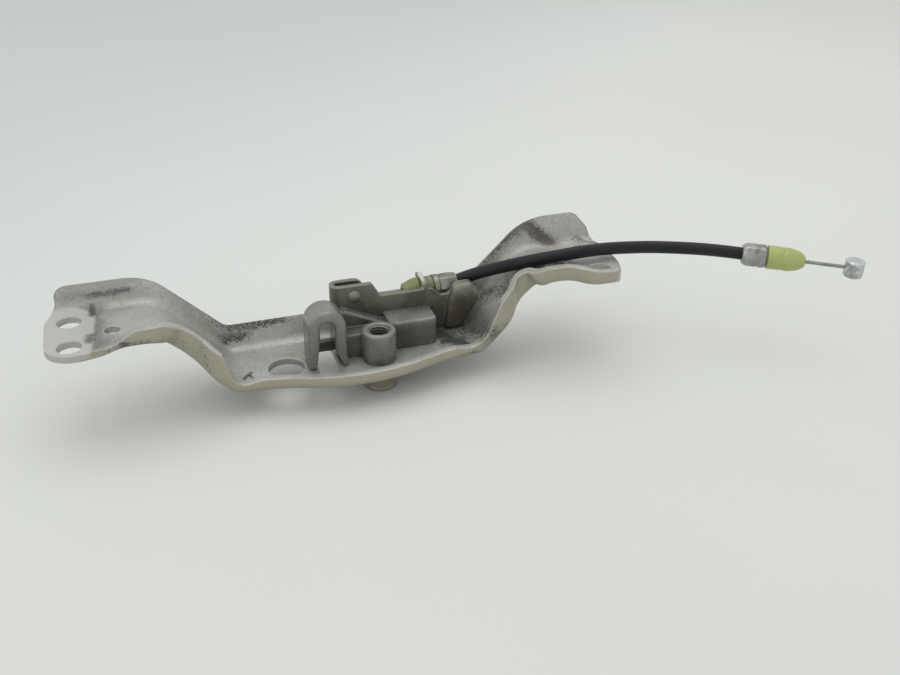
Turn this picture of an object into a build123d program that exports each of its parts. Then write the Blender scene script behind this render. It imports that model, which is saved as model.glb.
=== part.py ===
# Motorcycle seat lock: a pressed bracket carries a cast latch body, a spring-loaded latch slide
# and a short Bowden cable that pulls the slide back.
# Millimetres. Origin: centre of the four fixing holes, on the wings' top face.
# +X along the bracket towards the cable, +Y to the bracket's tall flange, +Z out of the trough.
import math
import os

from build123d import *

os.makedirs("parts", exist_ok=True)

# Bracket strip
sheet = 2.6
bend_front = 2.0
bend_rear = 5.0
wing_rise = 26.0
ramp_run = 24.2
floor_left = -44.5
floor_right = 48.5
ramp_bend_low = 6.0
ramp_bend_high = 12.0
end_left = -106.3
end_right = 107.5
rear_edge = 24.1
rear_lean = 30.0
rim_slope = 29.3
rear_lift = 14.0
front_face = -10.6
trough_top = 60.0

# Front wall in plan: it bows out round the latch body and again at the right tab
bow_centre = 2.0
bow_half = 46.0
bow_depth = 7.8
right_land = 7.0
right_waist_in = 11.0
right_waist_out = 8.0
left_land = 3.0
left_waist_in = 11.0
left_waist_out = 14.0
waist_depth = 6.0
tab_land = 6.0
tab_bow_run = 15.0
tab_bow_depth = 7.4
right_waist = bow_centre + bow_half + right_land + right_waist_in
left_waist = bow_centre - bow_half - left_land - left_waist_in
tab_bow_start = right_waist + right_waist_out + tab_land
flare_start = left_waist - left_waist_out - tab_land
flare_radius = 12.0
tab_right = 104.9
tab_left = -102.3
tab_left_back = 18.6
tab_left_mid = (-105.0, 13.8)
tab_left_shoulder = 8.0
tab_left_heel = -5.5
left_corner_mid = (-103.4, -12.6)
left_corner = (-96.5, -15.3)
left_neck = (-84.0, -13.4)
left_neck_end = -76.0
right_corner = (98.2, -21.4)
right_corner_mid = (104.7, -13.0)
tab_right_heel = -1.0
tab_right_shoulder = 12.0
tab_right_back = 19.4

# Flange heights above the wings' top face and above the floor
rear_lip = 6.8
rear_lip_right = 9.9
centre_lip = 7.2
front_lip = 4.8
front_lip_right = 5.0
front_lip_tab = 4.2
front_lip_centre = 3.7

# Fixing holes in the wings
bolt_pitch_x = 196.0
bolt_pitch_y = 18.0
bolt_hole = 8.5
locating_x = 84.0
locating_y = -1.0
locating_hole = 5.4

# Openings in the floor
striker_x = -10.4
striker_y = -0.8
striker_width = 8.2
striker_length = 24.4
drain_x = -25.5
drain_y = -2.0
drain_hole = 13.6

# Latch body casting, heights above the floor
arch_front = -8.0
arch_depth = 11.6
arch_slot = 5.6
arch_wall = 4.3
arch_height = 23.6
leg_rise = 7.0
leg_foot = 1.2
tip_width = 3.0
tip_gap = 0.3
arch_round = 1.3
boss_x = 9.3
boss_y = -5.5
boss_radius = 6.4
boss_height = 12.4
wall_front = 4.0
body_back = 9.3
wall_left = -3.0
wall_peak = 16.4
wall_low = 9.4
wall_round = 1.0
block_left = 14.6
block_right = 33.4
block_front = -1.8
block_height = 11.4
block_round = 0.8
saddle_front = -2.5
saddle_height = 9.6

# Screws that hold the latch body to the floor
front_screw = 8.0
front_head = 13.0
front_head_height = 8.8
front_socket = 6.0
front_reach = 8.4
rear_screw = 6.0
rear_head = 10.0
rear_head_height = 6.0
rear_socket = 5.0
rear_reach = 8.0
rear_screw_x = 24.4
rear_screw_y = 2.4
socket_depth = 3.6
blind_depth = 0.6
thread_gap = 0.05
floor_hole_gap = 0.3

# Latch slide, a joggled strap
slide_travel = 7.0
slide_sheet = 2.4
slide_round = 0.8
slide_gap = 0.3
tongue_tip = -14.0
tongue_front = 1.6
tongue_low = 2.2
tongue_high = 6.4
joggle_x = -1.0
strap_end = 6.0
fork_left = -2.6
fork_low = 9.5
fork_high = 22.4
ear_x = 10.8
ear_low = 12.4
ear_high = 17.8
ear_margin = 1.6

# Cable plate with its folded guide
plate_sheet = 1.8
plate_foot = 0.3
fold_gap = 3.2
fold_left = -5.1
fold_low = 9.2
fold_top = 24.0
fold_right = 10.8
fold_end = 9.0
fold_corner = 4.5
strip_top = 18.2
strip_start = 14.2
strip_left = 14.0
strip_right = 35.0
notch_low = 14.8
notch_left = 38.4
notch_right = 41.3
lug_top = 19.0
lug_start = 43.8
lug_end = 54.0
lug_depth = 2.8
lug_round = 1.6
lug_foot = 39.4
lug_waist = 46.4
fold_step = 17.6
fold_step_x = 5.8
tab_x = 31.5
tab_low = 11.0
tab_high = 20.8
tab_reach = 5.0
tab_corner = 2.0

# Rivets
plate_rivet = 4.0
plate_rivet_head = 7.0
plate_rivet_crown = 1.8
plate_rivet_height = 4.6
plate_rivet_depth = 3.6
plate_rivet_left = 19.6
plate_rivet_right = 29.6
guide_x = 3.7
guide_height = 19.4
guide_pin = 3.0
guide_head = 5.2
guide_crown = 1.3
rivet_gap = 0.05

# Return spring between the slide's joggle and the casting
spring_wire = 0.7
spring_coil = 4.4
spring_bore = 5.2
spring_seat = 20.0
spring_turns = 8

# Cable
sheath = 5.0
inner_wire = 1.5
wire_gap = 0.3
cable_gap = 0.3
cable_height = 15.6
nose_tip = 24.5
nose_face = 5.0
nose_run = 4.6
near_nylon = 8.6
near_groove = 5.6
groove_gap = 0.1
spigot = 4.6
spigot_length = 3.0
sleeve_start = 36.9
near_sleeve = 9.8
far_sleeve = 9.0
sleeve_flats = 8.0
collar = 9.2
collar_length = 2.2
mouth = 7.0
mouth_depth = 1.6
mouth_lift = 0.6
anchor = 3.2
anchor_length = 3.8
far_point = (155.4, -17.6, 1.8)
far_aim = (5.4, -3.1, -0.3)
far_nylon = 9.4
far_nylon_length = 15.2
far_groove = 8.2
far_groove_start = 6.2
far_groove_width = 1.2
far_nose = 4.6
far_nose_round = 7.6
far_nose_run = 7.0
far_nose_step = 2.2
far_flats = 8.2
far_collar = 9.3
far_bare_wire = 15.0
nipple = 7.5
nipple_length = 6.6
nipple_lean = 0.25

# Values that follow from the sizes above
floor_z = -wing_rise
under_z = floor_z - sheet
far_side = 150.0
deep = 80.0
ramp_left = floor_left - ramp_run
ramp_right = floor_right + ramp_run
ramp_angle = math.atan2(wing_rise, ramp_run)
bend_least = 0.5
bend_steps = 4
rear_start = rear_edge - centre_lip * math.tan(math.radians(rear_lean)) - sheet / math.cos(math.radians(rear_lean))
plate_front = body_back
plate_back = plate_front + plate_sheet
slide_front = plate_back + (fold_gap - slide_sheet) / 2
slide_back = slide_front + slide_sheet
fold_back = plate_back + fold_gap
cable_y = plate_back + cable_gap + collar / 2
cable_z = floor_z + cable_height
tongue_middle = tongue_front + slide_sheet / 2
tongue_centre = (tongue_low + tongue_high) / 2
joggle_right = joggle_x + slide_sheet
wire_bore = inner_wire + 2 * wire_gap
fold_radius = plate_sheet + fold_gap / 2


def height(value):
    """Height above the bracket's floor, in the part's frame."""
    return floor_z + value


def facing(y):
    """Upright plane at a depth, with its normal towards the front."""
    return Plane.XZ.offset(-y)


def along(x, y=None, z=None):
    """Plane across the cable's axis at a place along the bracket."""
    return Plane(
        origin=(x, cable_y if y is None else y, cable_z if z is None else z),
        x_dir=(0, 1, 0),
        z_dir=(1, 0, 0),
    )


def save(piece, name):
    """Labels a finished piece and writes it."""
    piece.part.label = name
    export_step(piece.part, f"parts/{name}.step")


def swing(start, end):
    """Draws a smooth step towards the left, or a line if there is no step."""
    if start[1] == end[1]:
        Line(start, end)
        return
    middle = ((start[0] + end[0]) / 2, (start[1] + end[1]) / 2)
    first = TangentArc(start, middle, tangent=(-1, 0))
    TangentArc(middle, end, tangent=first % 1)


def web(lift, y):
    """Side view of the space above the strip, with its lower edge lifted."""
    shift = lift * math.tan(ramp_angle / 2)
    with BuildSketch(facing(y)) as view:
        with BuildLine():
            Polyline(
                (-far_side, lift),
                (ramp_left + shift, lift),
                (floor_left + shift, floor_z + lift),
                (floor_right - shift, floor_z + lift),
                (ramp_right - shift, lift),
                (far_side, lift),
                (far_side, trough_top),
                (-far_side, trough_top),
                close=True,
            )
        make_face()
        corners = view.vertices().filter_by(lambda v: abs(v.X) < far_side - 1)
        fillet(corners.filter_by(lambda v: v.Y < floor_z / 2 + lift),
               max(ramp_bend_low - lift, bend_least))
        corners = view.vertices().filter_by(
            lambda v: abs(v.Y - lift) < 0.01
            and min(abs(v.X - ramp_left - shift), abs(v.X - ramp_right + shift)) < 0.01
        )
        fillet(corners, ramp_bend_high + lift)
    return view.sketch


def trough(grow):
    """Space above the strip and between its flanges, grown outwards by a wall."""
    lean = math.radians(rear_lean)
    turn = math.pi / 2 - lean
    radius = bend_rear + grow
    foot = rear_start + grow * (1 / math.cos(lean) - math.tan(lean))
    start = foot - radius * math.tan(turn / 2)
    brim = rear_start + rear_lift * math.tan(lean) + grow / math.cos(lean)
    steps = [turn * step / bend_steps for step in range(bend_steps + 1)]
    bend = [
        web(radius * (1 - math.cos(step)) - grow, start + radius * math.sin(step))
        for step in steps
    ]
    with BuildPart() as space:
        extrude(bend[0], amount=deep + start, dir=(0, -1, 0))
        loft(sections=bend)
        loft(sections=[bend[-1], web(rear_lift, brim)], ruled=True)
        with BuildSketch(Plane.XY.offset(-deep)):
            with BuildLine():
                crown_y = front_face - bow_depth
                waist_y = front_face + waist_depth
                tab_y = front_face - tab_bow_depth
                turns = (
                    (tab_bow_start + tab_bow_run, tab_y),
                    (tab_bow_start, front_face),
                    (right_waist + right_waist_out, front_face),
                    (right_waist, waist_y),
                    (right_waist - right_waist_in, front_face),
                    (bow_centre + bow_half, front_face),
                    (bow_centre, crown_y),
                    (bow_centre - bow_half, front_face),
                    (left_waist + left_waist_in, front_face),
                    (left_waist, waist_y),
                    (left_waist - left_waist_out, front_face),
                    (flare_start, front_face),
                )
                for start, end in zip(turns, turns[1:]):
                    swing(start, end)
                flare = TangentArc(
                    (flare_start, front_face),
                    (flare_start - flare_radius, front_face - flare_radius),
                    tangent=(-1, 0),
                )
                Polyline(
                    turns[0],
                    (far_side, tab_y),
                    (far_side, deep),
                    (-far_side, deep),
                    (-far_side, -deep / 2),
                    (flare_start - flare_radius, -deep / 2),
                    flare @ 1,
                )
            make_face()
            if grow:
                offset(amount=grow, kind=Kind.INTERSECTION)
        extrude(amount=2 * deep, mode=Mode.INTERSECT)
        low = space.edges().filter_by(
            lambda e: e.center().Z < trough_top / 3 and abs(e.tangent_at(0.5).X) > 0.05
            and e.center().Y < 0
        )
        fillet(low, bend_front + grow)
    return space.part


with BuildPart() as bracket:
    add(trough(sheet))
    add(trough(0), mode=Mode.SUBTRACT)
    # Blank outline in plan: rounded tabs and the ends of the flanges
    with BuildSketch(Plane.XY.offset(-deep)):
        with BuildLine():
            Polyline(
                (tab_left, far_side),
                (tab_left, tab_left_back),
            )
            ThreePointArc(
                (tab_left, tab_left_back),
                tab_left_mid,
                (end_left, tab_left_shoulder),
            )
            Line((end_left, tab_left_shoulder), (end_left, tab_left_heel))
            ThreePointArc((end_left, tab_left_heel), left_corner_mid, left_corner)
            Spline(left_corner, left_neck, tangents=((1, 0), (1, 0)))
            Polyline(
                left_neck,
                (left_neck_end, left_neck[1]),
                (left_neck_end, -deep),
                (right_corner[0], -deep),
                right_corner,
            )
            ThreePointArc(right_corner, right_corner_mid, (end_right, tab_right_heel))
            Polyline(
                (end_right, tab_right_heel),
                (end_right, tab_right_shoulder),
                (tab_right, tab_right_back),
                (tab_right, far_side),
                (tab_left, far_side),
            )
        make_face()
    extrude(amount=2 * deep, mode=Mode.INTERSECT)
    # Front flange's top edge
    with BuildSketch(Plane.XZ):
        with BuildLine():
            FilletPolyline(
                (-far_side, 0),
                (-84.6, 0),
                (-76.5, front_lip),
                (-67.0, front_lip),
                (-49.0, -10.5),
                (floor_left - 0.6, height(1.7)),
                (-36.0, height(front_lip_centre)),
                (37.0, height(front_lip_centre)),
                (floor_right - 0.6, height(1.5)),
                (55.6, -5.8),
                (63.2, 0.6),
                (73.5, front_lip_right),
                (88.0, front_lip_right),
                (94.0, front_lip_tab),
                (far_side, front_lip_tab),
                (far_side, trough_top + deep),
                (-far_side, trough_top + deep),
                radius=(
                    0.8, 4.0, 10.0, 6.0, 0.8, 5.0, 5.0, 0.8, 8.0, 6.0, 6.0, 2.0, 2.0,
                    1.0, 1.0, 1.0, 1.0,
                ),
                close=True,
            )
        make_face()
    extrude(amount=deep, mode=Mode.SUBTRACT)
    # Rear flange's top edge, square to its lean
    with BuildSketch(facing(rear_edge)) as rim:
        with BuildLine():
            FilletPolyline(
                (-far_side, 1.0),
                (-102.4, 1.0),
                (-102.4, rear_lip),
                (-70.6, rear_lip),
                (-44.4, height(centre_lip)),
                (47.8, height(centre_lip)),
                (77.8, rear_lip_right),
                (100.2, rear_lip_right),
                (106.2, 0),
                (far_side, 0),
                (far_side, trough_top + deep),
                (-far_side, trough_top + deep),
                radius=(0.5, 4.5, 20.0, 5.0, 5.0, 25.0, 4.5, 3.0, 1.0, 1.0),
            )
            Line((-far_side, trough_top + deep), (-far_side, 1.0))
        make_face()
    fall = math.radians(rim_slope)
    back = Vector(0, math.cos(fall), -math.sin(fall))
    extrude(amount=rear_edge, dir=back, mode=Mode.SUBTRACT)
    extrude(rim.sketch, amount=rear_edge / 2, dir=-back, mode=Mode.SUBTRACT)
    # Openings in the wings and the floor
    with BuildSketch(Plane.XY.offset(-deep)):
        with GridLocations(bolt_pitch_x, bolt_pitch_y, 2, 2):
            Circle(bolt_hole / 2)
        with Locations((-locating_x, locating_y), (locating_x, locating_y)):
            Circle(locating_hole / 2)
        with Locations((drain_x, drain_y)):
            Circle(drain_hole / 2)
        with Locations((striker_x, striker_y)):
            RectangleRounded(striker_width, striker_length, striker_width / 2 - 0.05)
        with Locations((boss_x, boss_y)):
            Circle(front_screw / 2 + floor_hole_gap)
        with Locations((rear_screw_x, rear_screw_y)):
            Circle(rear_screw / 2 + floor_hole_gap)
    extrude(amount=2 * deep, mode=Mode.SUBTRACT)
save(bracket, "bracket")

with BuildPart() as latch_body:
    # Hook over the striker: a leg, an arch and a free tapered tip
    arch_half = arch_slot / 2
    arch_outer = arch_half + arch_wall
    arch_centre = height(arch_height) - arch_outer
    tip_left = striker_x - arch_outer - 0.3
    tip_round = tip_width / 2
    with BuildSketch(facing(arch_front + arch_depth)):
        with BuildLine():
            crown = ThreePointArc(
                (striker_x + arch_outer, arch_centre),
                (striker_x, arch_centre + arch_outer),
                (striker_x - arch_outer, arch_centre),
            )
            Line(crown @ 1, (tip_left, height(tip_gap + tip_round)))
            tip = ThreePointArc(
                (tip_left, height(tip_gap + tip_round)),
                (tip_left + tip_round, height(tip_gap)),
                (tip_left + tip_width, height(tip_gap + tip_round)),
            )
            Polyline(
                tip @ 1,
                (striker_x - arch_half, arch_centre - arch_wall),
                (striker_x - arch_half, arch_centre),
            )
            inner = ThreePointArc(
                (striker_x - arch_half, arch_centre),
                (striker_x, arch_centre + arch_half),
                (striker_x + arch_half, arch_centre),
            )
            Polyline(
                inner @ 1,
                (striker_x + arch_half, floor_z),
                (striker_x + arch_outer, floor_z),
                crown @ 0,
            )
        make_face()
    extrude(amount=arch_depth)
    rims = latch_body.edges().filter_by(
        lambda e: e.center().Z > floor_z + 0.1 and abs(e.tangent_at(0.5).Y) < 0.5
    )
    fillet(rims, arch_round)
    # Slant that thins the leg towards its foot
    with BuildSketch(facing(arch_front + arch_depth)):
        with BuildLine():
            Polyline(
                (striker_x, floor_z),
                (striker_x + arch_outer - leg_foot, floor_z),
                (striker_x + arch_half, height(leg_rise)),
                (striker_x, height(leg_rise)),
                close=True,
            )
        make_face()
    extrude(amount=arch_depth, mode=Mode.SUBTRACT)
    # Back wall, whose top sinks towards the block
    with BuildSketch(facing(body_back)):
        with BuildLine():
            Polyline(
                (block_right, floor_z),
                (wall_left, floor_z),
                (wall_left, height(wall_peak) - arch_wall / 2),
            )
            ThreePointArc(
                (wall_left, height(wall_peak) - arch_wall / 2),
                (wall_left + 0.7, height(wall_peak) - 0.6),
                (wall_left + arch_wall / 2, height(wall_peak)),
            )
            slope = Spline(
                (wall_left + arch_wall / 2, height(wall_peak)),
                (block_left, height(wall_low)),
                tangents=((1, -0.35), (1, -0.25)),
            )
            Polyline(slope @ 1, (block_right, height(wall_low)), (block_right, floor_z))
        make_face()
    extrude(amount=body_back - wall_front)
    brow = latch_body.edges().filter_by(
        lambda e: abs(e.center().Y - wall_front) < 0.1
        and e.center().Z > height(wall_low) + 1
        and wall_left + 1 < e.center().X < block_left
    )
    fillet(brow, wall_round)
    # Saddle between the arch's leg and the block, then the block
    with BuildSketch(Plane.XY.offset(floor_z)):
        with BuildLine():
            Polyline(
                (striker_x + arch_outer - 1.0, saddle_front),
                (block_left + 1.0, saddle_front),
                (block_left + 1.0, wall_front + 1.0),
                (striker_x + arch_outer - 1.0, wall_front + 1.0),
                close=True,
            )
        make_face()
    extrude(amount=saddle_height)
    with BuildSketch(Plane.XY.offset(floor_z)):
        with BuildLine():
            FilletPolyline(
                (block_left, body_back),
                (block_left, block_front),
                (block_right, block_front),
                (block_right, body_back),
                radius=2 * block_round,
            )
            Line((block_right, body_back), (block_left, body_back))
        make_face()
    extrude(amount=block_height)
    # Boss for the front screw
    with BuildSketch(Plane.XY.offset(floor_z)):
        with Locations((boss_x, boss_y)):
            Circle(boss_radius)
    extrude(amount=boss_height)
    lids = latch_body.edges().filter_by(
        lambda e: abs(e.center().Z - height(boss_height)) < 0.01
        or (abs(e.center().Z - height(block_height)) < 0.01 and e.center().Y < body_back - 0.1)
    )
    fillet(lids, block_round)
    # Window that guides the slide
    with BuildSketch(Plane.XY.offset(height(tongue_low) - slide_gap)):
        with BuildLine():
            Polyline(
                (tongue_tip, tongue_front - slide_gap),
                (joggle_right + slide_travel + slide_gap, tongue_front - slide_gap),
                (joggle_right + slide_travel + slide_gap, body_back + 1),
                (tongue_tip, body_back + 1),
                close=True,
            )
        make_face()
    extrude(amount=tongue_high - tongue_low + 2 * slide_gap, mode=Mode.SUBTRACT)
    # Bores for the spring, the screws and the plate's rivets
    with BuildSketch(along(joggle_right - slide_gap, tongue_middle, height(tongue_centre))):
        Circle(spring_bore / 2)
    extrude(amount=spring_seat - joggle_right + slide_gap, mode=Mode.SUBTRACT)
    with BuildSketch(Plane.XY.offset(floor_z)):
        with Locations((boss_x, boss_y)):
            Circle(front_screw / 2 + thread_gap)
    extrude(amount=boss_height + 1, mode=Mode.SUBTRACT)
    with BuildSketch(Plane.XY.offset(floor_z)):
        with Locations((rear_screw_x, rear_screw_y)):
            Circle(rear_screw / 2 + thread_gap)
    extrude(amount=rear_reach + blind_depth, mode=Mode.SUBTRACT)
    with BuildSketch(facing(body_back)):
        with Locations(
            (plate_rivet_left, height(plate_rivet_height)),
            (plate_rivet_right, height(plate_rivet_height)),
        ):
            Circle(plate_rivet / 2 + rivet_gap)
    extrude(amount=plate_rivet_depth, mode=Mode.SUBTRACT)
    mouth_edge = latch_body.edges().filter_by(GeomType.CIRCLE).filter_by(
        lambda e: abs(e.radius - front_screw / 2 - thread_gap) < 0.01
        and e.center().Z > height(boss_height) - 0.1
    )
    chamfer(mouth_edge, 0.5)
save(latch_body, "latch_body")

with BuildPart() as cable_plate:
    # Front layer against the casting, from the fold to the round lug
    with BuildSketch(facing(plate_back)):
        with BuildLine():
            outline = FilletPolyline(
                (fold_left + fold_radius, height(fold_low)),
                (strip_left, height(fold_low)),
                (strip_left, height(plate_foot)),
                (lug_waist - 1.0, height(plate_foot)),
                (lug_end - 3.0, height(8.6)),
                (lug_end - 1.4, height(lug_top - 4.6)),
                (lug_end - 4.2, height(lug_top - 1.4)),
                (lug_start, height(lug_top - 1.4)),
                (notch_right, height(notch_low)),
                (notch_left, height(notch_low)),
                (strip_right, height(strip_top)),
                (strip_start, height(strip_top)),
                (fold_right, height(fold_top)),
                (fold_left + fold_radius, height(fold_top)),
                radius=(1.0, 1.0, 1.6, 6.0, 2.6, 2.4, 2.0, 1.2, 1.2, 1.6, 1.2, 1.4),
            )
            Line(outline @ 1, outline @ 0)
        make_face()
    extrude(amount=plate_sheet)
    # Round lug pressed forward at the plate's end, hollow from behind
    for inset, way in ((0, Mode.ADD), (plate_sheet, Mode.SUBTRACT)):
        with BuildPart(mode=Mode.PRIVATE) as dome:
            with BuildSketch(facing(plate_back)):
                with BuildLine():
                    FilletPolyline(
                        (lug_foot, height(plate_foot)),
                        (lug_waist, height(plate_foot)),
                        (lug_end - 2.0, height(8.4)),
                        (lug_end, height(lug_top - 4.6)),
                        (lug_end - 3.4, height(lug_top)),
                        (lug_start, height(lug_top)),
                        (lug_start - 2.8, height(lug_top - 6.6)),
                        radius=(1.4, 1.6, 6.0, 2.6, 2.4, 3.0, 6.0),
                        close=True,
                    )
                make_face()
                if inset:
                    offset(amount=-inset)
            extrude(amount=lug_depth + plate_sheet - inset)
            front_rim = dome.edges().group_by(Axis.Y)[0]
            fillet(front_rim, lug_round if not inset else lug_round / 2)
        add(dome.part, mode=way)
    # Hairpin fold and rear layer, which guide the slide
    with BuildSketch(Plane.XY.offset(height(fold_low))):
        with Locations((fold_left + fold_radius, (plate_front + fold_back + plate_sheet) / 2)):
            Circle(fold_radius)
            Circle(fold_gap / 2, mode=Mode.SUBTRACT)
            Rectangle(
                2 * fold_radius, 2 * fold_radius, align=(Align.MIN, Align.CENTER),
                mode=Mode.SUBTRACT,
            )
    extrude(amount=fold_top - fold_low)
    with BuildSketch(facing(fold_back + plate_sheet)):
        with BuildLine():
            flap = FilletPolyline(
                (fold_left + fold_radius, height(fold_low)),
                (fold_step_x, height(fold_low)),
                (fold_step_x, height(fold_step)),
                (fold_end, height(fold_step)),
                (fold_end, height(fold_top)),
                (fold_left + fold_radius, height(fold_top)),
                radius=(1.5, 1.0, 1.0, fold_corner),
            )
            Line(flap @ 1, flap @ 0)
        make_face()
    extrude(amount=plate_sheet)
    # Tab that holds the cable's end in its groove, slotted from behind
    tab_back = cable_y + tab_reach
    with BuildSketch(along(tab_x)):
        with Locations(((plate_front + tab_back) / 2 - cable_y,
                        (tab_low + tab_high) / 2 - cable_height)):
            RectangleRounded(tab_back - plate_front, tab_high - tab_low, tab_corner - 0.3)
        with Locations((tab_reach, 0)):
            Rectangle(2 * tab_reach, near_groove + 2 * groove_gap, mode=Mode.SUBTRACT)
        Circle(near_groove / 2 + groove_gap, mode=Mode.SUBTRACT)
    extrude(amount=plate_sheet)
    # Holes for the guide rivet and the two fixing rivets
    with BuildSketch(facing(plate_front - 1)):
        with Locations((guide_x, height(guide_height))):
            Circle(guide_pin / 2 + rivet_gap)
        with Locations(
            (plate_rivet_left, height(plate_rivet_height)),
            (plate_rivet_right, height(plate_rivet_height)),
        ):
            Circle(plate_rivet / 2 + rivet_gap)
    extrude(amount=-(fold_back + 2 * plate_sheet), mode=Mode.SUBTRACT)
save(cable_plate, "cable_plate")

with BuildPart() as latch_slide:
    # Tongue and joggle
    with BuildSketch(Plane.XY.offset(height(tongue_low))):
        with BuildLine():
            FilletPolyline(
                (tongue_tip, tongue_front),
                (joggle_right, tongue_front),
                (joggle_right, slide_front),
                (strap_end, slide_front),
                (strap_end, slide_back),
                (joggle_x, slide_back),
                (joggle_x, tongue_front + slide_sheet),
                (tongue_tip, tongue_front + slide_sheet),
                radius=(
                    slide_round + 1.6,
                    slide_round,
                    slide_round,
                    slide_round,
                    slide_round + 1.6,
                    slide_round,
                ),
            )
            Line((tongue_tip, tongue_front + slide_sheet), (tongue_tip, tongue_front))
        make_face()
    extrude(amount=tongue_high - tongue_low)
    # Guided plate with an open fork for the guide rivet
    with BuildSketch(facing(slide_back)):
        with BuildLine():
            FilletPolyline(
                (joggle_right + slide_sheet / 2, height(tongue_low)),
                (strap_end, height(tongue_low)),
                (strap_end, height(fork_low)),
                (ear_x + slide_sheet / 2, height(ear_low)),
                (ear_x + slide_sheet / 2, height(ear_high)),
                (guide_x + slide_travel, height(fork_high)),
                (fork_left, height(fork_high)),
                (fork_left, height(fork_low)),
                (joggle_right + slide_sheet / 2, height(fork_low)),
                radius=(0.5, slide_round, 2.0, 2.0, 1.0, 2.0, slide_round, slide_round, 1.0),
                close=True,
            )
        make_face()
        with Locations((guide_x, height(guide_height))):
            Circle(guide_pin / 2 + slide_gap, mode=Mode.SUBTRACT)
        with Locations((guide_x - slide_travel, height(guide_height))):
            Rectangle(2 * slide_travel, guide_pin + 2 * slide_gap, mode=Mode.SUBTRACT)
    extrude(amount=slide_sheet)
    # Ear bent back to carry the wire's end
    with BuildSketch(along(ear_x)):
        with BuildLine():
            ear_back = cable_y + anchor / 2 + ear_margin
            FilletPolyline(
                (slide_front - cable_y, height(ear_low) - cable_z),
                (ear_back - cable_y, height(ear_low) - cable_z),
                (ear_back - cable_y, height(ear_high) - cable_z),
                (slide_front - cable_y, height(ear_high) - cable_z),
                radius=1.6,
            )
            Line(
                (slide_front - cable_y, height(ear_high) - cable_z),
                (slide_front - cable_y, height(ear_low) - cable_z),
            )
        make_face()
        Circle(wire_bore / 2, mode=Mode.SUBTRACT)
        with Locations((ear_margin + anchor / 2, 0)):
            Rectangle(2 * ear_margin + anchor, wire_bore, mode=Mode.SUBTRACT)
    extrude(amount=slide_sheet)
save(latch_slide, "latch_slide")


with BuildPart() as guide_rivet:
    # Pin through both layers and the slide's fork, with a formed head at each end
    back_rim = fold_back + plate_sheet
    half_head = guide_head / 2
    with BuildSketch(Plane.XY.offset(height(guide_height))):
        with BuildLine():
            Polyline(
                (guide_x, plate_front - guide_crown),
                (guide_x + half_head * 0.7, plate_front - guide_crown),
                (guide_x + half_head, plate_front - guide_crown / 2),
                (guide_x + half_head, plate_front),
                (guide_x + guide_pin / 2, plate_front),
                (guide_x + guide_pin / 2, back_rim),
                (guide_x + half_head, back_rim),
                (guide_x + half_head, back_rim + guide_crown / 2),
                (guide_x + half_head * 0.7, back_rim + guide_crown),
                (guide_x, back_rim + guide_crown),
                close=True,
            )
        make_face()
    revolve(axis=Axis((guide_x, 0, height(guide_height)), (0, 1, 0)))
save(guide_rivet, "guide_rivet")

# Rivets that fix the plate to the casting
plate_rivets = (("plate_rivet_left", plate_rivet_left), ("plate_rivet_right", plate_rivet_right))
for rivet_name, rivet_x in plate_rivets:
    rivet_z = height(plate_rivet_height)
    with BuildPart() as plate_rivet_piece:
        with BuildSketch(Plane.XY.offset(rivet_z)):
            with BuildLine():
                Polyline(
                    (rivet_x, body_back - plate_rivet_depth + rivet_gap),
                    (rivet_x + plate_rivet / 2, body_back - plate_rivet_depth + rivet_gap),
                    (rivet_x + plate_rivet / 2, plate_back),
                    (rivet_x + plate_rivet_head / 2, plate_back),
                    (rivet_x + plate_rivet_head * 0.45, plate_back + plate_rivet_crown * 0.6),
                    (rivet_x + plate_rivet_head * 0.28, plate_back + plate_rivet_crown),
                    (rivet_x, plate_back + plate_rivet_crown),
                    close=True,
                )
            make_face()
        revolve(axis=Axis((rivet_x, 0, rivet_z), (0, 1, 0)))
    save(plate_rivet_piece, rivet_name)

with BuildPart() as return_spring:
    # Compression spring from the joggle to the end of its bore
    spring_radius = (spring_coil - spring_wire) / 2
    spring_length = spring_seat - joggle_right - spring_wire
    with BuildLine():
        coil = Helix(
            spring_length / spring_turns,
            spring_length,
            spring_radius,
            center=(joggle_right + spring_wire / 2, tongue_middle, height(tongue_centre)),
            direction=(1, 0, 0),
        )
    with BuildSketch(Plane(origin=coil @ 0, z_dir=coil % 0)):
        Circle(spring_wire / 2)
    sweep(path=coil, is_frenet=True)
save(return_spring, "return_spring")


def screw(x, y, thread, head, head_height, socket, reach):
    """Socket head screw that rises from under the floor into the casting."""
    with BuildPart() as piece:
        with BuildSketch(Plane.XY.offset(under_z - head_height)):
            with Locations((x, y)):
                Circle(head / 2)
        extrude(amount=head_height)
        rim = piece.edges().group_by(Axis.Z)[0]
        fillet(rim, head_height / 10)
        with BuildSketch(Plane.XY.offset(under_z)):
            with Locations((x, y)):
                Circle(thread / 2)
        extrude(amount=sheet + reach)
        tip = piece.edges().group_by(Axis.Z)[-1]
        chamfer(tip, thread / 10)
        with BuildSketch(Plane.XY.offset(under_z - head_height)):
            with Locations((x, y)):
                RegularPolygon(socket / 2, 6, major_radius=False)
        extrude(amount=socket_depth, mode=Mode.SUBTRACT)
    return piece


front_screw_piece = screw(
    boss_x, boss_y, front_screw, front_head, front_head_height, front_socket, front_reach
)
save(front_screw_piece, "front_screw")
rear_screw_piece = screw(
    rear_screw_x, rear_screw_y, rear_screw, rear_head, rear_head_height, rear_socket, rear_reach
)
save(rear_screw_piece, "rear_screw")

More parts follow.
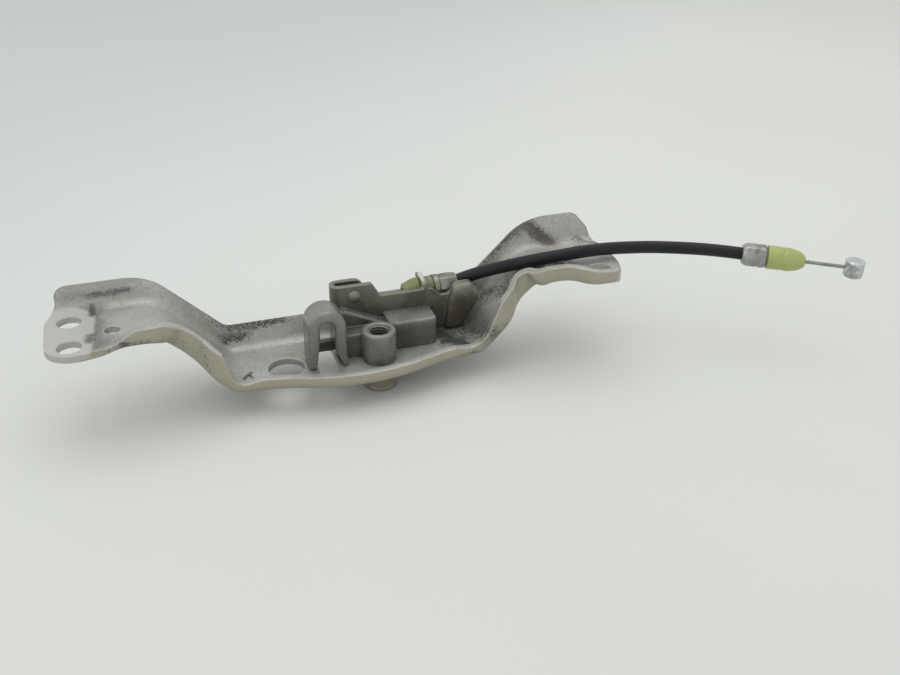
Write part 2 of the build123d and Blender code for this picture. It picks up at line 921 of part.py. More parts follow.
with BuildPart() as wire_anchor:
    # Solid end cast on the wire, which pulls on the ear
    with BuildSketch(along(ear_x)):
        Circle(anchor / 2)
        Circle(inner_wire / 2 + rivet_gap, mode=Mode.SUBTRACT)
    extrude(amount=-anchor_length)
    chamfer(wire_anchor.edges().filter_by(lambda e: e.length > math.pi * anchor * 0.9), 0.4)
save(wire_anchor, "wire_anchor")

with BuildPart() as near_wire:
    # Free end of the inner wire, long enough to stay in the sleeve when pulled
    with BuildSketch(along(ear_x - anchor_length)):
        Circle(inner_wire / 2)
    wire_end = sleeve_start + near_sleeve - mouth_depth - slide_travel - wire_gap
    extrude(amount=wire_end - ear_x + anchor_length)
save(near_wire, "near_wire")

with BuildPart() as near_ferrule:
    # Nylon end turned with a groove for the tab and a tapered nose
    groove_left = tab_x - groove_gap
    groove_right = tab_x + plate_sheet + groove_gap
    with BuildSketch(Plane(origin=(0, cable_y, cable_z))):
        with BuildLine():
            Polyline(
                (nose_tip, wire_bore / 2),
                (nose_tip, nose_face / 2),
                (nose_tip + nose_run, near_nylon / 2),
                (groove_left, near_nylon / 2),
                (groove_left, near_groove / 2),
                (groove_right, near_groove / 2),
                (groove_right, near_nylon / 2),
                (sleeve_start, near_nylon / 2),
                (sleeve_start, spigot / 2),
                (sleeve_start + spigot_length, spigot / 2),
                (sleeve_start + spigot_length, wire_bore / 2),
                close=True,
            )
        make_face()
    revolve(axis=Axis((0, cable_y, cable_z), (1, 0, 0)))
save(near_ferrule, "near_ferrule")


def crimped_sleeve(plane, length, flats, rim, collar_at_start):
    """Hexagonal crimp with a round collar, bored for the spigot and the wire."""
    with BuildPart() as piece:
        with BuildSketch(plane):
            RegularPolygon(flats / 2, 6, major_radius=False)
        extrude(amount=length)
        collar_plane = plane if collar_at_start else plane.offset(length - collar_length)
        with BuildSketch(collar_plane):
            Circle(rim / 2)
        extrude(amount=collar_length)
        with BuildSketch(plane):
            Circle(wire_bore / 2)
        extrude(amount=length, mode=Mode.SUBTRACT)
        socket_plane = plane if collar_at_start else plane.offset(length - spigot_length)
        with BuildSketch(socket_plane):
            Circle(spigot / 2 + rivet_gap)
        extrude(amount=spigot_length, mode=Mode.SUBTRACT)
        if collar_at_start:
            # Mouth that the sheath leaves at a slant
            with BuildSketch(plane.offset(length - mouth_depth)):
                Circle(mouth / 2)
            extrude(amount=mouth_depth, mode=Mode.SUBTRACT)
    return piece


near_crimp = crimped_sleeve(along(sleeve_start), near_sleeve, sleeve_flats, collar, True)
save(near_crimp, "near_crimp")

# Cable route, from the near sleeve over the right wing to the far sleeve
sheath_start = (sleeve_start + near_sleeve - mouth_depth * 0.4, cable_y, cable_z + mouth_lift)
route = (
    sheath_start,
    (52.3, 15.3, -7.8),
    (58.3, 13.1, -5.6),
    (63.6, 9.5, -3.1),
    (68.2, 4.9, -0.2),
    (73.7, 1.1, 2.3),
    (80.1, -1.5, 3.9),
    (87.1, -2.6, 4.8),
    (94.4, -2.3, 4.8),
    (101.7, -1.5, 4.3),
    (109.0, -1.2, 3.6),
    (116.2, -1.8, 3.1),
    (123.3, -3.3, 2.9),
    (130.2, -5.6, 2.7),
    (137.0, -8.3, 2.6),
    (143.7, -11.3, 2.4),
    Vector(*far_point) - Vector(*far_aim),
    far_point,
)
stops = [Vector(point) for point in route]
runs = [(after - before).length for before, after in zip(stops, stops[1:])]
bends = []
for place in range(1, len(stops) - 1):
    before = stops[place] - stops[place - 1]
    after = stops[place + 1] - stops[place]
    half_turn = math.radians(before.get_angle(after)) / 2
    bends.append(0.45 * min(runs[place - 1], runs[place]) / math.tan(half_turn))
print("runs", [round(run, 2) for run in runs])
print("bends", [round(bend, 1) for bend in bends], "in diameters", round(min(bends) / sheath, 2))
with BuildPart() as cable_sheath:
    with BuildLine():
        path = FilletPolyline(*stops, radius=bends)
    with BuildSketch(Plane(origin=path @ 0, z_dir=path % 0)):
        Circle(sheath / 2)
    sweep(path=path)
print("sheath length", round(path.length, 2), "volume ratio",
      round(cable_sheath.part.volume / (path.length * math.pi * sheath**2 / 4), 4))
save(cable_sheath, "cable_sheath")

far_plane = Plane(origin=far_point, x_dir=(-far_aim[1], far_aim[0], 0), z_dir=far_aim)
far_crimp = crimped_sleeve(far_plane, far_sleeve, far_flats, far_collar, False)
save(far_crimp, "far_crimp")

with BuildPart() as far_ferrule:
    far_length = far_sleeve + far_nylon_length
    groove_start = far_sleeve + far_groove_start
    groove_end = groove_start + far_groove_width
    profile = Plane(origin=far_point, x_dir=far_plane.z_dir, z_dir=far_plane.x_dir)
    with BuildSketch(profile):
        with BuildLine():
            Polyline(
                (far_sleeve - spigot_length, wire_bore / 2),
                (far_sleeve - spigot_length, spigot / 2),
                (far_sleeve, spigot / 2),
                (far_sleeve, far_nylon / 2),
                (groove_start, far_nylon / 2),
                (groove_start, far_groove / 2),
                (groove_end, far_groove / 2),
                (groove_end, far_nylon / 2),
                (far_length - far_nose_run, far_nylon / 2),
                (far_length - far_nose_step, far_nose_round / 2),
                (far_length, far_nose / 2),
                (far_length, wire_bore / 2),
                close=True,
            )
        make_face()
    revolve(axis=Axis(far_point, far_plane.z_dir))
save(far_ferrule, "far_ferrule")

wire_root = wire_gap
nipple_centre = far_length + far_bare_wire + nipple / 2
with BuildPart() as far_wire:
    with BuildSketch(far_plane.offset(wire_root)):
        Circle(inner_wire / 2)
    extrude(amount=nipple_centre - wire_root)
save(far_wire, "far_wire")

with BuildPart() as pull_nipple:
    # Barrel nipple across the wire's end
    middle = Vector(*far_point) + far_plane.z_dir * nipple_centre
    up = (Vector(0, 0, 1) + far_plane.z_dir * nipple_lean).normalized()
    lean = up - far_plane.z_dir * up.dot(far_plane.z_dir)
    barrel = Plane(origin=middle, z_dir=lean)
    with BuildSketch(barrel.offset(-nipple_length / 2)):
        Circle(nipple / 2)
    extrude(amount=nipple_length)
    chamfer(pull_nipple.edges().filter_by(GeomType.CIRCLE), 0.5)
    with BuildSketch(far_plane.offset(nipple_centre)):
        Circle(inner_wire / 2 + rivet_gap)
    extrude(amount=-nipple, mode=Mode.SUBTRACT)
save(pull_nipple, "pull_nipple")
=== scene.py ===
import math
import bmesh
import bpy
import numpy as np
from mathutils import Matrix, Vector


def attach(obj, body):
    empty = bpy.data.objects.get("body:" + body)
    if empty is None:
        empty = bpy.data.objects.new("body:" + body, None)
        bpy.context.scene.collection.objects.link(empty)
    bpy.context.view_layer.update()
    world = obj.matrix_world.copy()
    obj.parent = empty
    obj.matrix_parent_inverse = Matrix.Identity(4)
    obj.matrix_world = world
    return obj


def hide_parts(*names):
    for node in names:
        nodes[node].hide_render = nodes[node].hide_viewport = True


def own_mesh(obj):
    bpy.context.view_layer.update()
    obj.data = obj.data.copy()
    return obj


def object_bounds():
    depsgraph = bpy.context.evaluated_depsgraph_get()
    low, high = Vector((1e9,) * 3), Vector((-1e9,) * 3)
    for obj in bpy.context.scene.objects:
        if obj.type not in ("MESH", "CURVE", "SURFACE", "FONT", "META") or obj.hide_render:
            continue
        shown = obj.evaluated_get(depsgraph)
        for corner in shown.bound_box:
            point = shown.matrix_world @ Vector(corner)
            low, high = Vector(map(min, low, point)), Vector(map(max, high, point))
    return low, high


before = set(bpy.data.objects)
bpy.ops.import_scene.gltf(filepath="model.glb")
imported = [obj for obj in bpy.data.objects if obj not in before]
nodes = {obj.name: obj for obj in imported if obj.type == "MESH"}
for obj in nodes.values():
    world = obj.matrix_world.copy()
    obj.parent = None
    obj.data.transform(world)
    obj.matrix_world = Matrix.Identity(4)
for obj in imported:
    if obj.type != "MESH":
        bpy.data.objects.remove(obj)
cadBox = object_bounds()
scene = bpy.context.scene
scene.view_settings.view_transform = "Standard"
print("frame loaded,", len(nodes), "CAD nodes")

# Camera, solved from the photo's own perspective
camera = {
    "place": (-0.0697, -0.3212, 0.1715),
    "right": (0.9481, -0.3179, 0.0059),
    "down": (-0.1442, -0.4463, -0.8832),
    "forward": (0.2834, 0.8365, -0.469),
    "lens": 40.0,  # millimetres
    "sensor": 36.0,
    "shiftY": -0.0428,  # the picture sits above the middle of its frame
    "clip": (0.02, 20.0),
}


def placeMatrix(right, up, back, place):
    # columns are the object's own axes, then its place
    turn = np.eye(4)
    for column, axis in enumerate((right, up, back, place)):
        turn[:3, column] = axis
    return Matrix(turn.tolist())


def makeCamera():
    # the camera looks along -Z with +Y up, so down and forward are turned round
    data = bpy.data.cameras.new("photoCamera")
    data.lens, data.sensor_width = camera["lens"], camera["sensor"]
    data.shift_y = camera["shiftY"]
    data.clip_start, data.clip_end = camera["clip"]
    eye = bpy.data.objects.new("photoCamera", data)
    scene.collection.objects.link(eye)
    right, down, forward = (np.array(camera[key]) for key in ("right", "down", "forward"))
    eye.matrix_world = placeMatrix(right, -down, -forward, camera["place"])
    scene.camera = eye


makeCamera()

# Cable cover, a free cord on the route of the part's own solid
sheath = {
    "route": [  # millimetres
        (46.06, 16.0, -9.8), (52.3, 15.3, -7.8), (58.3, 13.1, -5.6), (63.6, 9.5, -3.1),
        (68.2, 4.9, -0.2), (73.7, 1.1, 2.3), (80.1, -1.5, 3.9), (87.1, -2.6, 4.8),
        (94.4, -2.3, 4.8), (101.7, -1.5, 4.3), (109.0, -1.2, 3.6), (116.2, -1.8, 3.1),
        (123.3, -3.3, 2.9), (130.2, -5.6, 2.7), (137.0, -8.3, 2.6), (143.7, -11.3, 2.4),
        (150.0, -14.5, 2.1), (155.4, -17.6, 1.8)],
    "diameter": 0.0050,
    "length": 0.1196,
    "rings": 8,  # steps between two route points
    "sides": 6,  # quarter steps round the tube
}


def makeSheath():
    # a round tube along a smooth curve that the route's points steer
    curve = bpy.data.curves.new("cableSheath", "CURVE")
    curve.dimensions = "3D"
    spline = curve.splines.new("NURBS")
    spline.points.add(len(sheath["route"]) - 1)
    for point, place in zip(spline.points, sheath["route"]):
        point.co = (*(value / 1000 for value in place), 1.0)
        # times the bevel depth of 1, so that the curve's box is true
        point.radius = sheath["diameter"] / 2
    spline.order_u = 3
    spline.use_endpoint_u = True
    spline.resolution_u = sheath["rings"]
    curve.bevel_depth, curve.bevel_resolution = 1.0, sheath["sides"]
    curve.use_fill_caps = True
    cable = bpy.data.objects.new("cableSheath", curve)
    scene.collection.objects.link(cable)
    return cable


cable = makeSheath()
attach(cable, "base")
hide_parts("cable_sheath")
print("camera and cable laid")

# Studio: a pale sheet, an even sky and two soft lamps
studio = {
    "floorHeight": cadBox[0][2],
    "floorReach": 4.0,
    "floorColour": (0.665, 0.685, 0.660),
    "floorShade": (0.640, 0.655, 0.630),
    "floorFalloffShade": (0.53, 0.56, 0.55),
    "floorRoughness": 0.8,
    "shade": {"scale": 3.0, "detail": 3.0, "step": (0.3, 0.7)},
    "far": {"slope": 0.8, "step": (0.0, 0.55), "amount": 0.75},  # painted shade: the far left is darker, for the lamps' falloff
    "skyColour": (1.0, 0.99, 0.97),
    "skyStrength": 0.80,
    "lamps": {
        "topLamp": {
            "place": (0.10, 0.18, 0.98), "aim": (0.03, 0.0, 0.0),
            "size": 1.0, "power": 3.5, "colour": (0.93, 0.975, 1.0)},
        "sideLamp": {
            "place": (-0.7, -0.25, 0.7), "aim": (0.0, 0.0, 0.0),
            "size": 0.6, "power": 0.9, "colour": (0.93, 0.975, 1.0)},
    },
}


def makeLamp(name, lamp):
    # a square lamp that shines from its place to its aim
    data = bpy.data.lights.new(name, "AREA")
    data.shape, data.size = "SQUARE", lamp["size"]
    data.energy, data.color = lamp["power"], lamp["colour"]
    light = bpy.data.objects.new(name, data)
    scene.collection.objects.link(light)
    back = np.array(lamp["place"]) - np.array(lamp["aim"])
    back /= np.linalg.norm(back)
    right = np.cross((0.0, 1.0, 0.0), back)
    right /= np.linalg.norm(right)
    light.matrix_world = placeMatrix(right, np.cross(back, right), back, lamp["place"])


for name, lamp in studio["lamps"].items():
    makeLamp(name, lamp)
world = bpy.data.worlds.new("studioWorld")
scene.world = world
world.use_nodes = True
sky = world.node_tree.nodes["Background"]
sky.inputs["Color"].default_value = (*studio["skyColour"], 1.0)
sky.inputs["Strength"].default_value = studio["skyStrength"]
print("studio lit")


# Helpers for material nodes

def addNode(tree, kind, **settings):
    # a shader node with its settings
    node = tree.nodes.new("ShaderNode" + kind)
    for key, value in settings.items():
        setattr(node, key, value)
    return node


def feed(tree, socket, value):
    # a socket is linked, anything else becomes the input's own value
    if isinstance(value, bpy.types.NodeSocket):
        tree.links.new(value, socket)
    elif value is not None:
        socket.default_value = value


def maths(tree, operation, *values, clamp=False):
    # one sum, product, difference or the like of numbers
    node = addNode(tree, "Math", operation=operation, use_clamp=clamp)
    for socket, value in zip(node.inputs, values):
        feed(tree, socket, value)
    return node.outputs[0]


def vectors(tree, operation, *values):
    # the same for vectors; a dot product and a length give a number
    node = addNode(tree, "VectorMath", operation=operation)
    for socket, value in zip(node.inputs, values):
        feed(tree, socket, value)
    return node.outputs["Value" if operation in ("DOT_PRODUCT", "LENGTH") else "Vector"]


def coordinate(tree, vector, axis):
    # one coordinate of a vector
    node = addNode(tree, "SeparateXYZ")
    feed(tree, node.inputs[0], vector)
    return node.outputs[axis]


def remap(tree, value, low, high, toLow=0.0, toHigh=1.0):
    # smooth step from toLow at low to toHigh at high
    node = addNode(tree, "MapRange", interpolation_type="SMOOTHSTEP")
    for socket, number in zip(node.inputs, (value, low, high, toLow, toHigh)):
        feed(tree, socket, number)
    return node.outputs["Result"]


def mixColour(tree, factor, low, high):
    # low where the factor is 0, high where it is 1
    node = addNode(tree, "Mix", data_type="RGBA")
    for index, value in ((0, factor), (6, low), (7, high)):
        feed(tree, node.inputs[index], value)
    return node.outputs[2]


def newGroup(name, inputs, outputs):
    # an empty node group with named inputs (name, kind, value) and outputs (name, kind)
    group = bpy.data.node_groups.new(name, "ShaderNodeTree")
    for title, kind, value in inputs:
        socket = group.interface.new_socket(title, in_out="INPUT", socket_type="NodeSocket" + kind)
        socket.default_value = value
    for title, kind in outputs:
        group.interface.new_socket(title, in_out="OUTPUT", socket_type="NodeSocket" + kind)
    return group, group.nodes.new("NodeGroupInput"), group.nodes.new("NodeGroupOutput")


def useGroup(tree, group, **values):
    # a copy of the group with these values fed in
    node = tree.nodes.new("ShaderNodeGroup")
    node.node_tree = group
    for title, value in values.items():
        feed(tree, node.inputs[title], value)
    return node.outputs


def objectPoint(tree):
    # the point in metres, in the object's own frame
    return addNode(tree, "TexCoord").outputs["Object"]


def noise(tree, point, scale, detail=3.0, roughness=0.55):
    # fractal noise, scale in cells per metre
    node = addNode(tree, "TexNoise")
    values = {"Vector": point, "Scale": scale, "Detail": detail, "Roughness": roughness}
    for title, value in values.items():
        feed(tree, node.inputs[title], value)
    return node.outputs[0]


# Noise and steps inside the groups: detail, roughness, then the step from none to full
grainLook = {
    "cloud": (4.0, 0.55), "cloudStep": (0.34, 0.66), "grain": (2.0, 0.6), "fleck": (4.0, 0.75)}
stainLook = {"noise": (6.0, 0.7), "wobble": 5.0, "rim": 1.15}
edgeLook = {"samples": 6, "breakStep": (0.3, 0.6, 0.35, 1.0)}
cavityLook = {"samples": 6, "scale": 180.0, "detail": 4.0, "breakStep": (0.25, 0.7, 0.5, 1.2)}


def makeGrainGroup():
    # Cloud: broad noise, stepped; Grain and Fleck: fine noise as it comes
    group, into, out = newGroup(
        "metalGrain",
        [("CloudScale", "Float", 30.0), ("GrainScale", "Float", 900.0),
         ("FleckScale", "Float", 700.0)],
        [("Cloud", "Float"), ("Grain", "Float"), ("Fleck", "Float")])
    point = objectPoint(group)
    cloud = noise(group, point, into.outputs[0], *grainLook["cloud"])
    feed(group, out.inputs["Cloud"], remap(group, cloud, *grainLook["cloudStep"]))
    feed(group, out.inputs["Grain"], noise(group, point, into.outputs[1], *grainLook["grain"]))
    feed(group, out.inputs["Fleck"], noise(group, point, into.outputs[2], *grainLook["fleck"]))
    return group


def makeStainGroup():
    # distance to the segment From-To, measured in Reach and made ragged by noise, stepped to a mask
    group, into, out = newGroup(
        "stain",
        [("From", "Vector", (0, 0, 0)), ("To", "Vector", (0, 0, 0.001)),
         ("Reach", "Vector", (0.01,) * 3), ("Ragged", "Float", 0.5),
         ("RaggedScale", "Float", 250.0), ("Amount", "Float", 1.0), ("Full", "Float", 0.2)],
        [("Mask", "Float")])
    start, end, reach, ragged, scale, amount, full = (into.outputs[place] for place in range(7))
    point = objectPoint(group)
    away = vectors(group, "SUBTRACT", point, start)
    run = vectors(group, "SUBTRACT", end, start)
    share = maths(group, "DIVIDE", vectors(group, "DOT_PRODUCT", away, run),
                  vectors(group, "DOT_PRODUCT", run, run), clamp=True)
    scaled = addNode(group, "VectorMath", operation="SCALE")
    feed(group, scaled.inputs[0], run)
    feed(group, scaled.inputs["Scale"], share)
    gap = vectors(group, "DIVIDE", vectors(group, "SUBTRACT", away, scaled.outputs[0]), reach)
    around = maths(group, "SUBTRACT", noise(group, point, scale, *stainLook["noise"]), 0.5)
    wobble = maths(group, "MULTIPLY", around, ragged)
    distance = maths(group, "ADD", vectors(group, "LENGTH", gap),
                     maths(group, "MULTIPLY", wobble, stainLook["wobble"]))
    mask = remap(group, distance, stainLook["rim"], full)
    feed(group, out.inputs["Mask"], maths(group, "MULTIPLY", mask, amount))
    return group


def makeEdgeWearHighlightGroup():
    # rounded normal at edges, and one minus its dot product with the plain normal as a mask for
    # worn edges and painted highlight on the rims
    group, into, out = newGroup(
        "edgeWear",
        [("Reach", "Float", 0.0005), ("Gain", "Float", 3.0),
         ("BreakScale", "Float", 300.0)],
        [("Mask", "Float"), ("Normal", "Vector")])
    bevel = addNode(group, "Bevel", samples=edgeLook["samples"])
    feed(group, bevel.inputs["Radius"], into.outputs["Reach"])
    plain = addNode(group, "NewGeometry").outputs["Normal"]
    turned = maths(group, "SUBTRACT", 1.0, vectors(group, "DOT_PRODUCT", bevel.outputs[0], plain))
    cells = noise(group, objectPoint(group), into.outputs["BreakScale"])
    broken = remap(group, cells, *edgeLook["breakStep"])
    gained = maths(group, "MULTIPLY", turned, into.outputs["Gain"])
    mask = maths(group, "MULTIPLY", gained, broken, clamp=True)
    feed(group, out.inputs["Mask"], mask)
    feed(group, out.inputs["Normal"], bevel.outputs[0])
    return group


def makeCavityDirtShadeGroup():
    # dirt and painted shade where surfaces close in on each other
    group, into, out = newGroup(
        "cavityDirtAndPaintedShade", [("Reach", "Float", 0.005), ("Gain", "Float", 1.0)], [("Mask", "Float")])
    closed = addNode(group, "AmbientOcclusion", samples=cavityLook["samples"])
    feed(group, closed.inputs["Distance"], into.outputs["Reach"])
    shut = maths(group, "SUBTRACT", 1.0, closed.outputs["AO"])
    cells = noise(group, objectPoint(group), cavityLook["scale"], cavityLook["detail"])
    broken = remap(group, cells, *cavityLook["breakStep"])
    gained = maths(group, "MULTIPLY", shut, into.outputs["Gain"])
    mask = maths(group, "MULTIPLY", gained, broken, clamp=True)
    feed(group, out.inputs["Mask"], mask)
    return group


grainGroup, stainGroup = makeGrainGroup(), makeStainGroup()
edgeGroup, cavityDirtShadeGroup = makeEdgeWearHighlightGroup(), makeCavityDirtShadeGroup()


def metres(place):
    # from millimetres
    return tuple(value / 1000 for value in place)


def colour4(colour):
    # the colour, opaque
    return (*colour, 1.0)


def stainMask(tree, mark, **values):
    # mask of one mark: its start, end and reach in millimetres, then its amount
    start, end, reach, amount = mark
    places = {"From": metres(start), "To": metres(end), "Reach": metres(reach)}
    return useGroup(tree, stainGroup, **places, Amount=amount, **values)["Mask"]


def strongest(tree, before, mask):
    # the higher of two masks, where the first may be missing
    return mask if before is None else maths(tree, "MAXIMUM", before, mask)


# What a finish has unless it says otherwise
plainFinish = {
    "cloudScale": 35.0, "grainScale": 900.0, "fleckScale": 650.0, "grainAmount": 0.25,
    "specular": 0.5, "bump": 0.25, "bumpDepth": 0.0002,
    "cavityDirtShade": ((0.05, 0.045, 0.035), 0.005, 0.6),  # colour, reach in metres, gain
}
# Steps and shares that all finishes have in common
finishSteps = {
    "grain": (0.3, 0.7),
    "smear": (0.46, 0.68), "smearNoise": (7.0, 0.68),
    "sideFacing": (-0.25, -0.75), "sidePlace": (0.0, -0.006),  # normal's Y, then Y in metres
    "fleckLift": 0.24, "fleck": (0.62, 0.71), "fleckFull": 0.9, "fleckRagged": 0.25,
    "rearEdge": (0.0165, 0.0195),  # Y in metres
    "dirtRoughness": 0.12,
}


def makeFinish(name, finish):
    # one material: cloudy base, grime, painted shade and warm reflection on front faces, flecks,
    # stains and patches of painted light and shade, cavity dirt with painted shade, then worn edges
    # with painted highlight
    finish, steps = {**plainFinish, **finish}, finishSteps
    material = bpy.data.materials.new(name)
    material.use_nodes = True
    tree = material.node_tree
    shader = tree.nodes["Principled BSDF"]
    grain = useGroup(tree, grainGroup, CloudScale=finish["cloudScale"],
                     GrainScale=finish["grainScale"], FleckScale=finish["fleckScale"])
    colour = mixColour(tree, grain["Cloud"], colour4(finish["base"]), colour4(finish["cloud"]))
    fine = remap(tree, grain["Grain"], *steps["grain"], 0.0, finish["grainAmount"])
    colour = mixColour(tree, fine, colour, colour4(finish["grain"]))
    if "grime" in finish:
        tint, scale, amount = finish["grime"]
        cells = noise(tree, objectPoint(tree), scale, *steps["smearNoise"])
        smear = remap(tree, cells, *steps["smear"], 0.0, amount)
        colour = mixColour(tree, smear, colour, colour4(tint))
    # painted shade and warm reflection on faces turned to the front
    if "side" in finish:
        tint, amount = finish["side"]
        normal = addNode(tree, "NewGeometry").outputs["Normal"]
        facing = remap(tree, coordinate(tree, normal, "Y"), *steps["sideFacing"], 0.0, amount)
        front = remap(tree, coordinate(tree, objectPoint(tree), "Y"), *steps["sidePlace"])
        colour = mixColour(tree, maths(tree, "MULTIPLY", facing, front), colour, colour4(tint))
    for tint, marks in finish.get("speckled", ()):
        # flecks grow together where the patches are strong
        spread = None
        for mark in marks:
            patch = stainMask(tree, mark, Ragged=steps["fleckRagged"], Full=0.0)
            spread = strongest(tree, spread, patch)
        lift = maths(tree, "MULTIPLY", spread, steps["fleckLift"])
        lifted = maths(tree, "ADD", grain["Fleck"], lift)
        flecks = remap(tree, lifted, *steps["fleck"], 0.0, steps["fleckFull"])
        colour = mixColour(tree, flecks, colour, colour4(tint))
    stainAndLightCover = None
    # stains, and patches of painted light and shade
    for tint, ragged, scale, full, marks in finish.get("stainsAndPaintedLight", ()):
        for mark in marks:
            patch = stainMask(tree, mark, Ragged=ragged, RaggedScale=scale, Full=full)
            colour = mixColour(tree, patch, colour, colour4(tint))
            stainAndLightCover = strongest(tree, stainAndLightCover, patch)
    # dirt and painted shade: recesses are coloured darker
    cavityDirtShadeColour, cavityReach, cavityGain = finish["cavityDirtShade"]
    cavityDirtShade = useGroup(tree, cavityDirtShadeGroup, Reach=cavityReach, Gain=cavityGain)["Mask"]
    colour = mixColour(tree, cavityDirtShade, colour, colour4(cavityDirtShadeColour))
    # worn edges and painted highlight: the rims are coloured brighter
    edgeColour, edgeReach, edgeGain = finish["edge"]
    edge = useGroup(tree, edgeGroup, Reach=edgeReach, Gain=edgeGain)
    edgeColour = colour4(edgeColour)
    if "edgeRear" in finish:
        # the tall flange's top edge is dark, not rubbed bright
        behind = remap(tree, coordinate(tree, objectPoint(tree), "Y"), *steps["rearEdge"])
        edgeColour = mixColour(tree, behind, edgeColour, colour4(finish["edgeRear"]))
    colour = mixColour(tree, edge["Mask"], colour, edgeColour)
    feed(tree, shader.inputs["Base Color"], colour)
    roughness = remap(tree, grain["Grain"], *steps["grain"], *finish["roughness"])
    metallic = finish["metallic"]
    if stainAndLightCover is not None:
        duller = maths(tree, "MULTIPLY", stainAndLightCover, steps["dirtRoughness"])
        roughness = maths(tree, "ADD", roughness, duller, clamp=True)
        metallic = maths(tree, "MULTIPLY", maths(tree, "SUBTRACT", 1.0, stainAndLightCover), metallic)
    feed(tree, shader.inputs["Metallic"], metallic)
    feed(tree, shader.inputs["Roughness"], roughness)
    feed(tree, shader.inputs["Specular IOR Level"], finish["specular"])
    bump = addNode(tree, "Bump")
    feed(tree, bump.inputs["Strength"], finish["bump"])
    feed(tree, bump.inputs["Distance"], finish["bumpDepth"])
    feed(tree, bump.inputs["Height"], grain["Grain"])
    feed(tree, bump.inputs["Normal"], edge["Normal"])
    feed(tree, shader.inputs["Normal"], bump.outputs["Normal"])
    return material
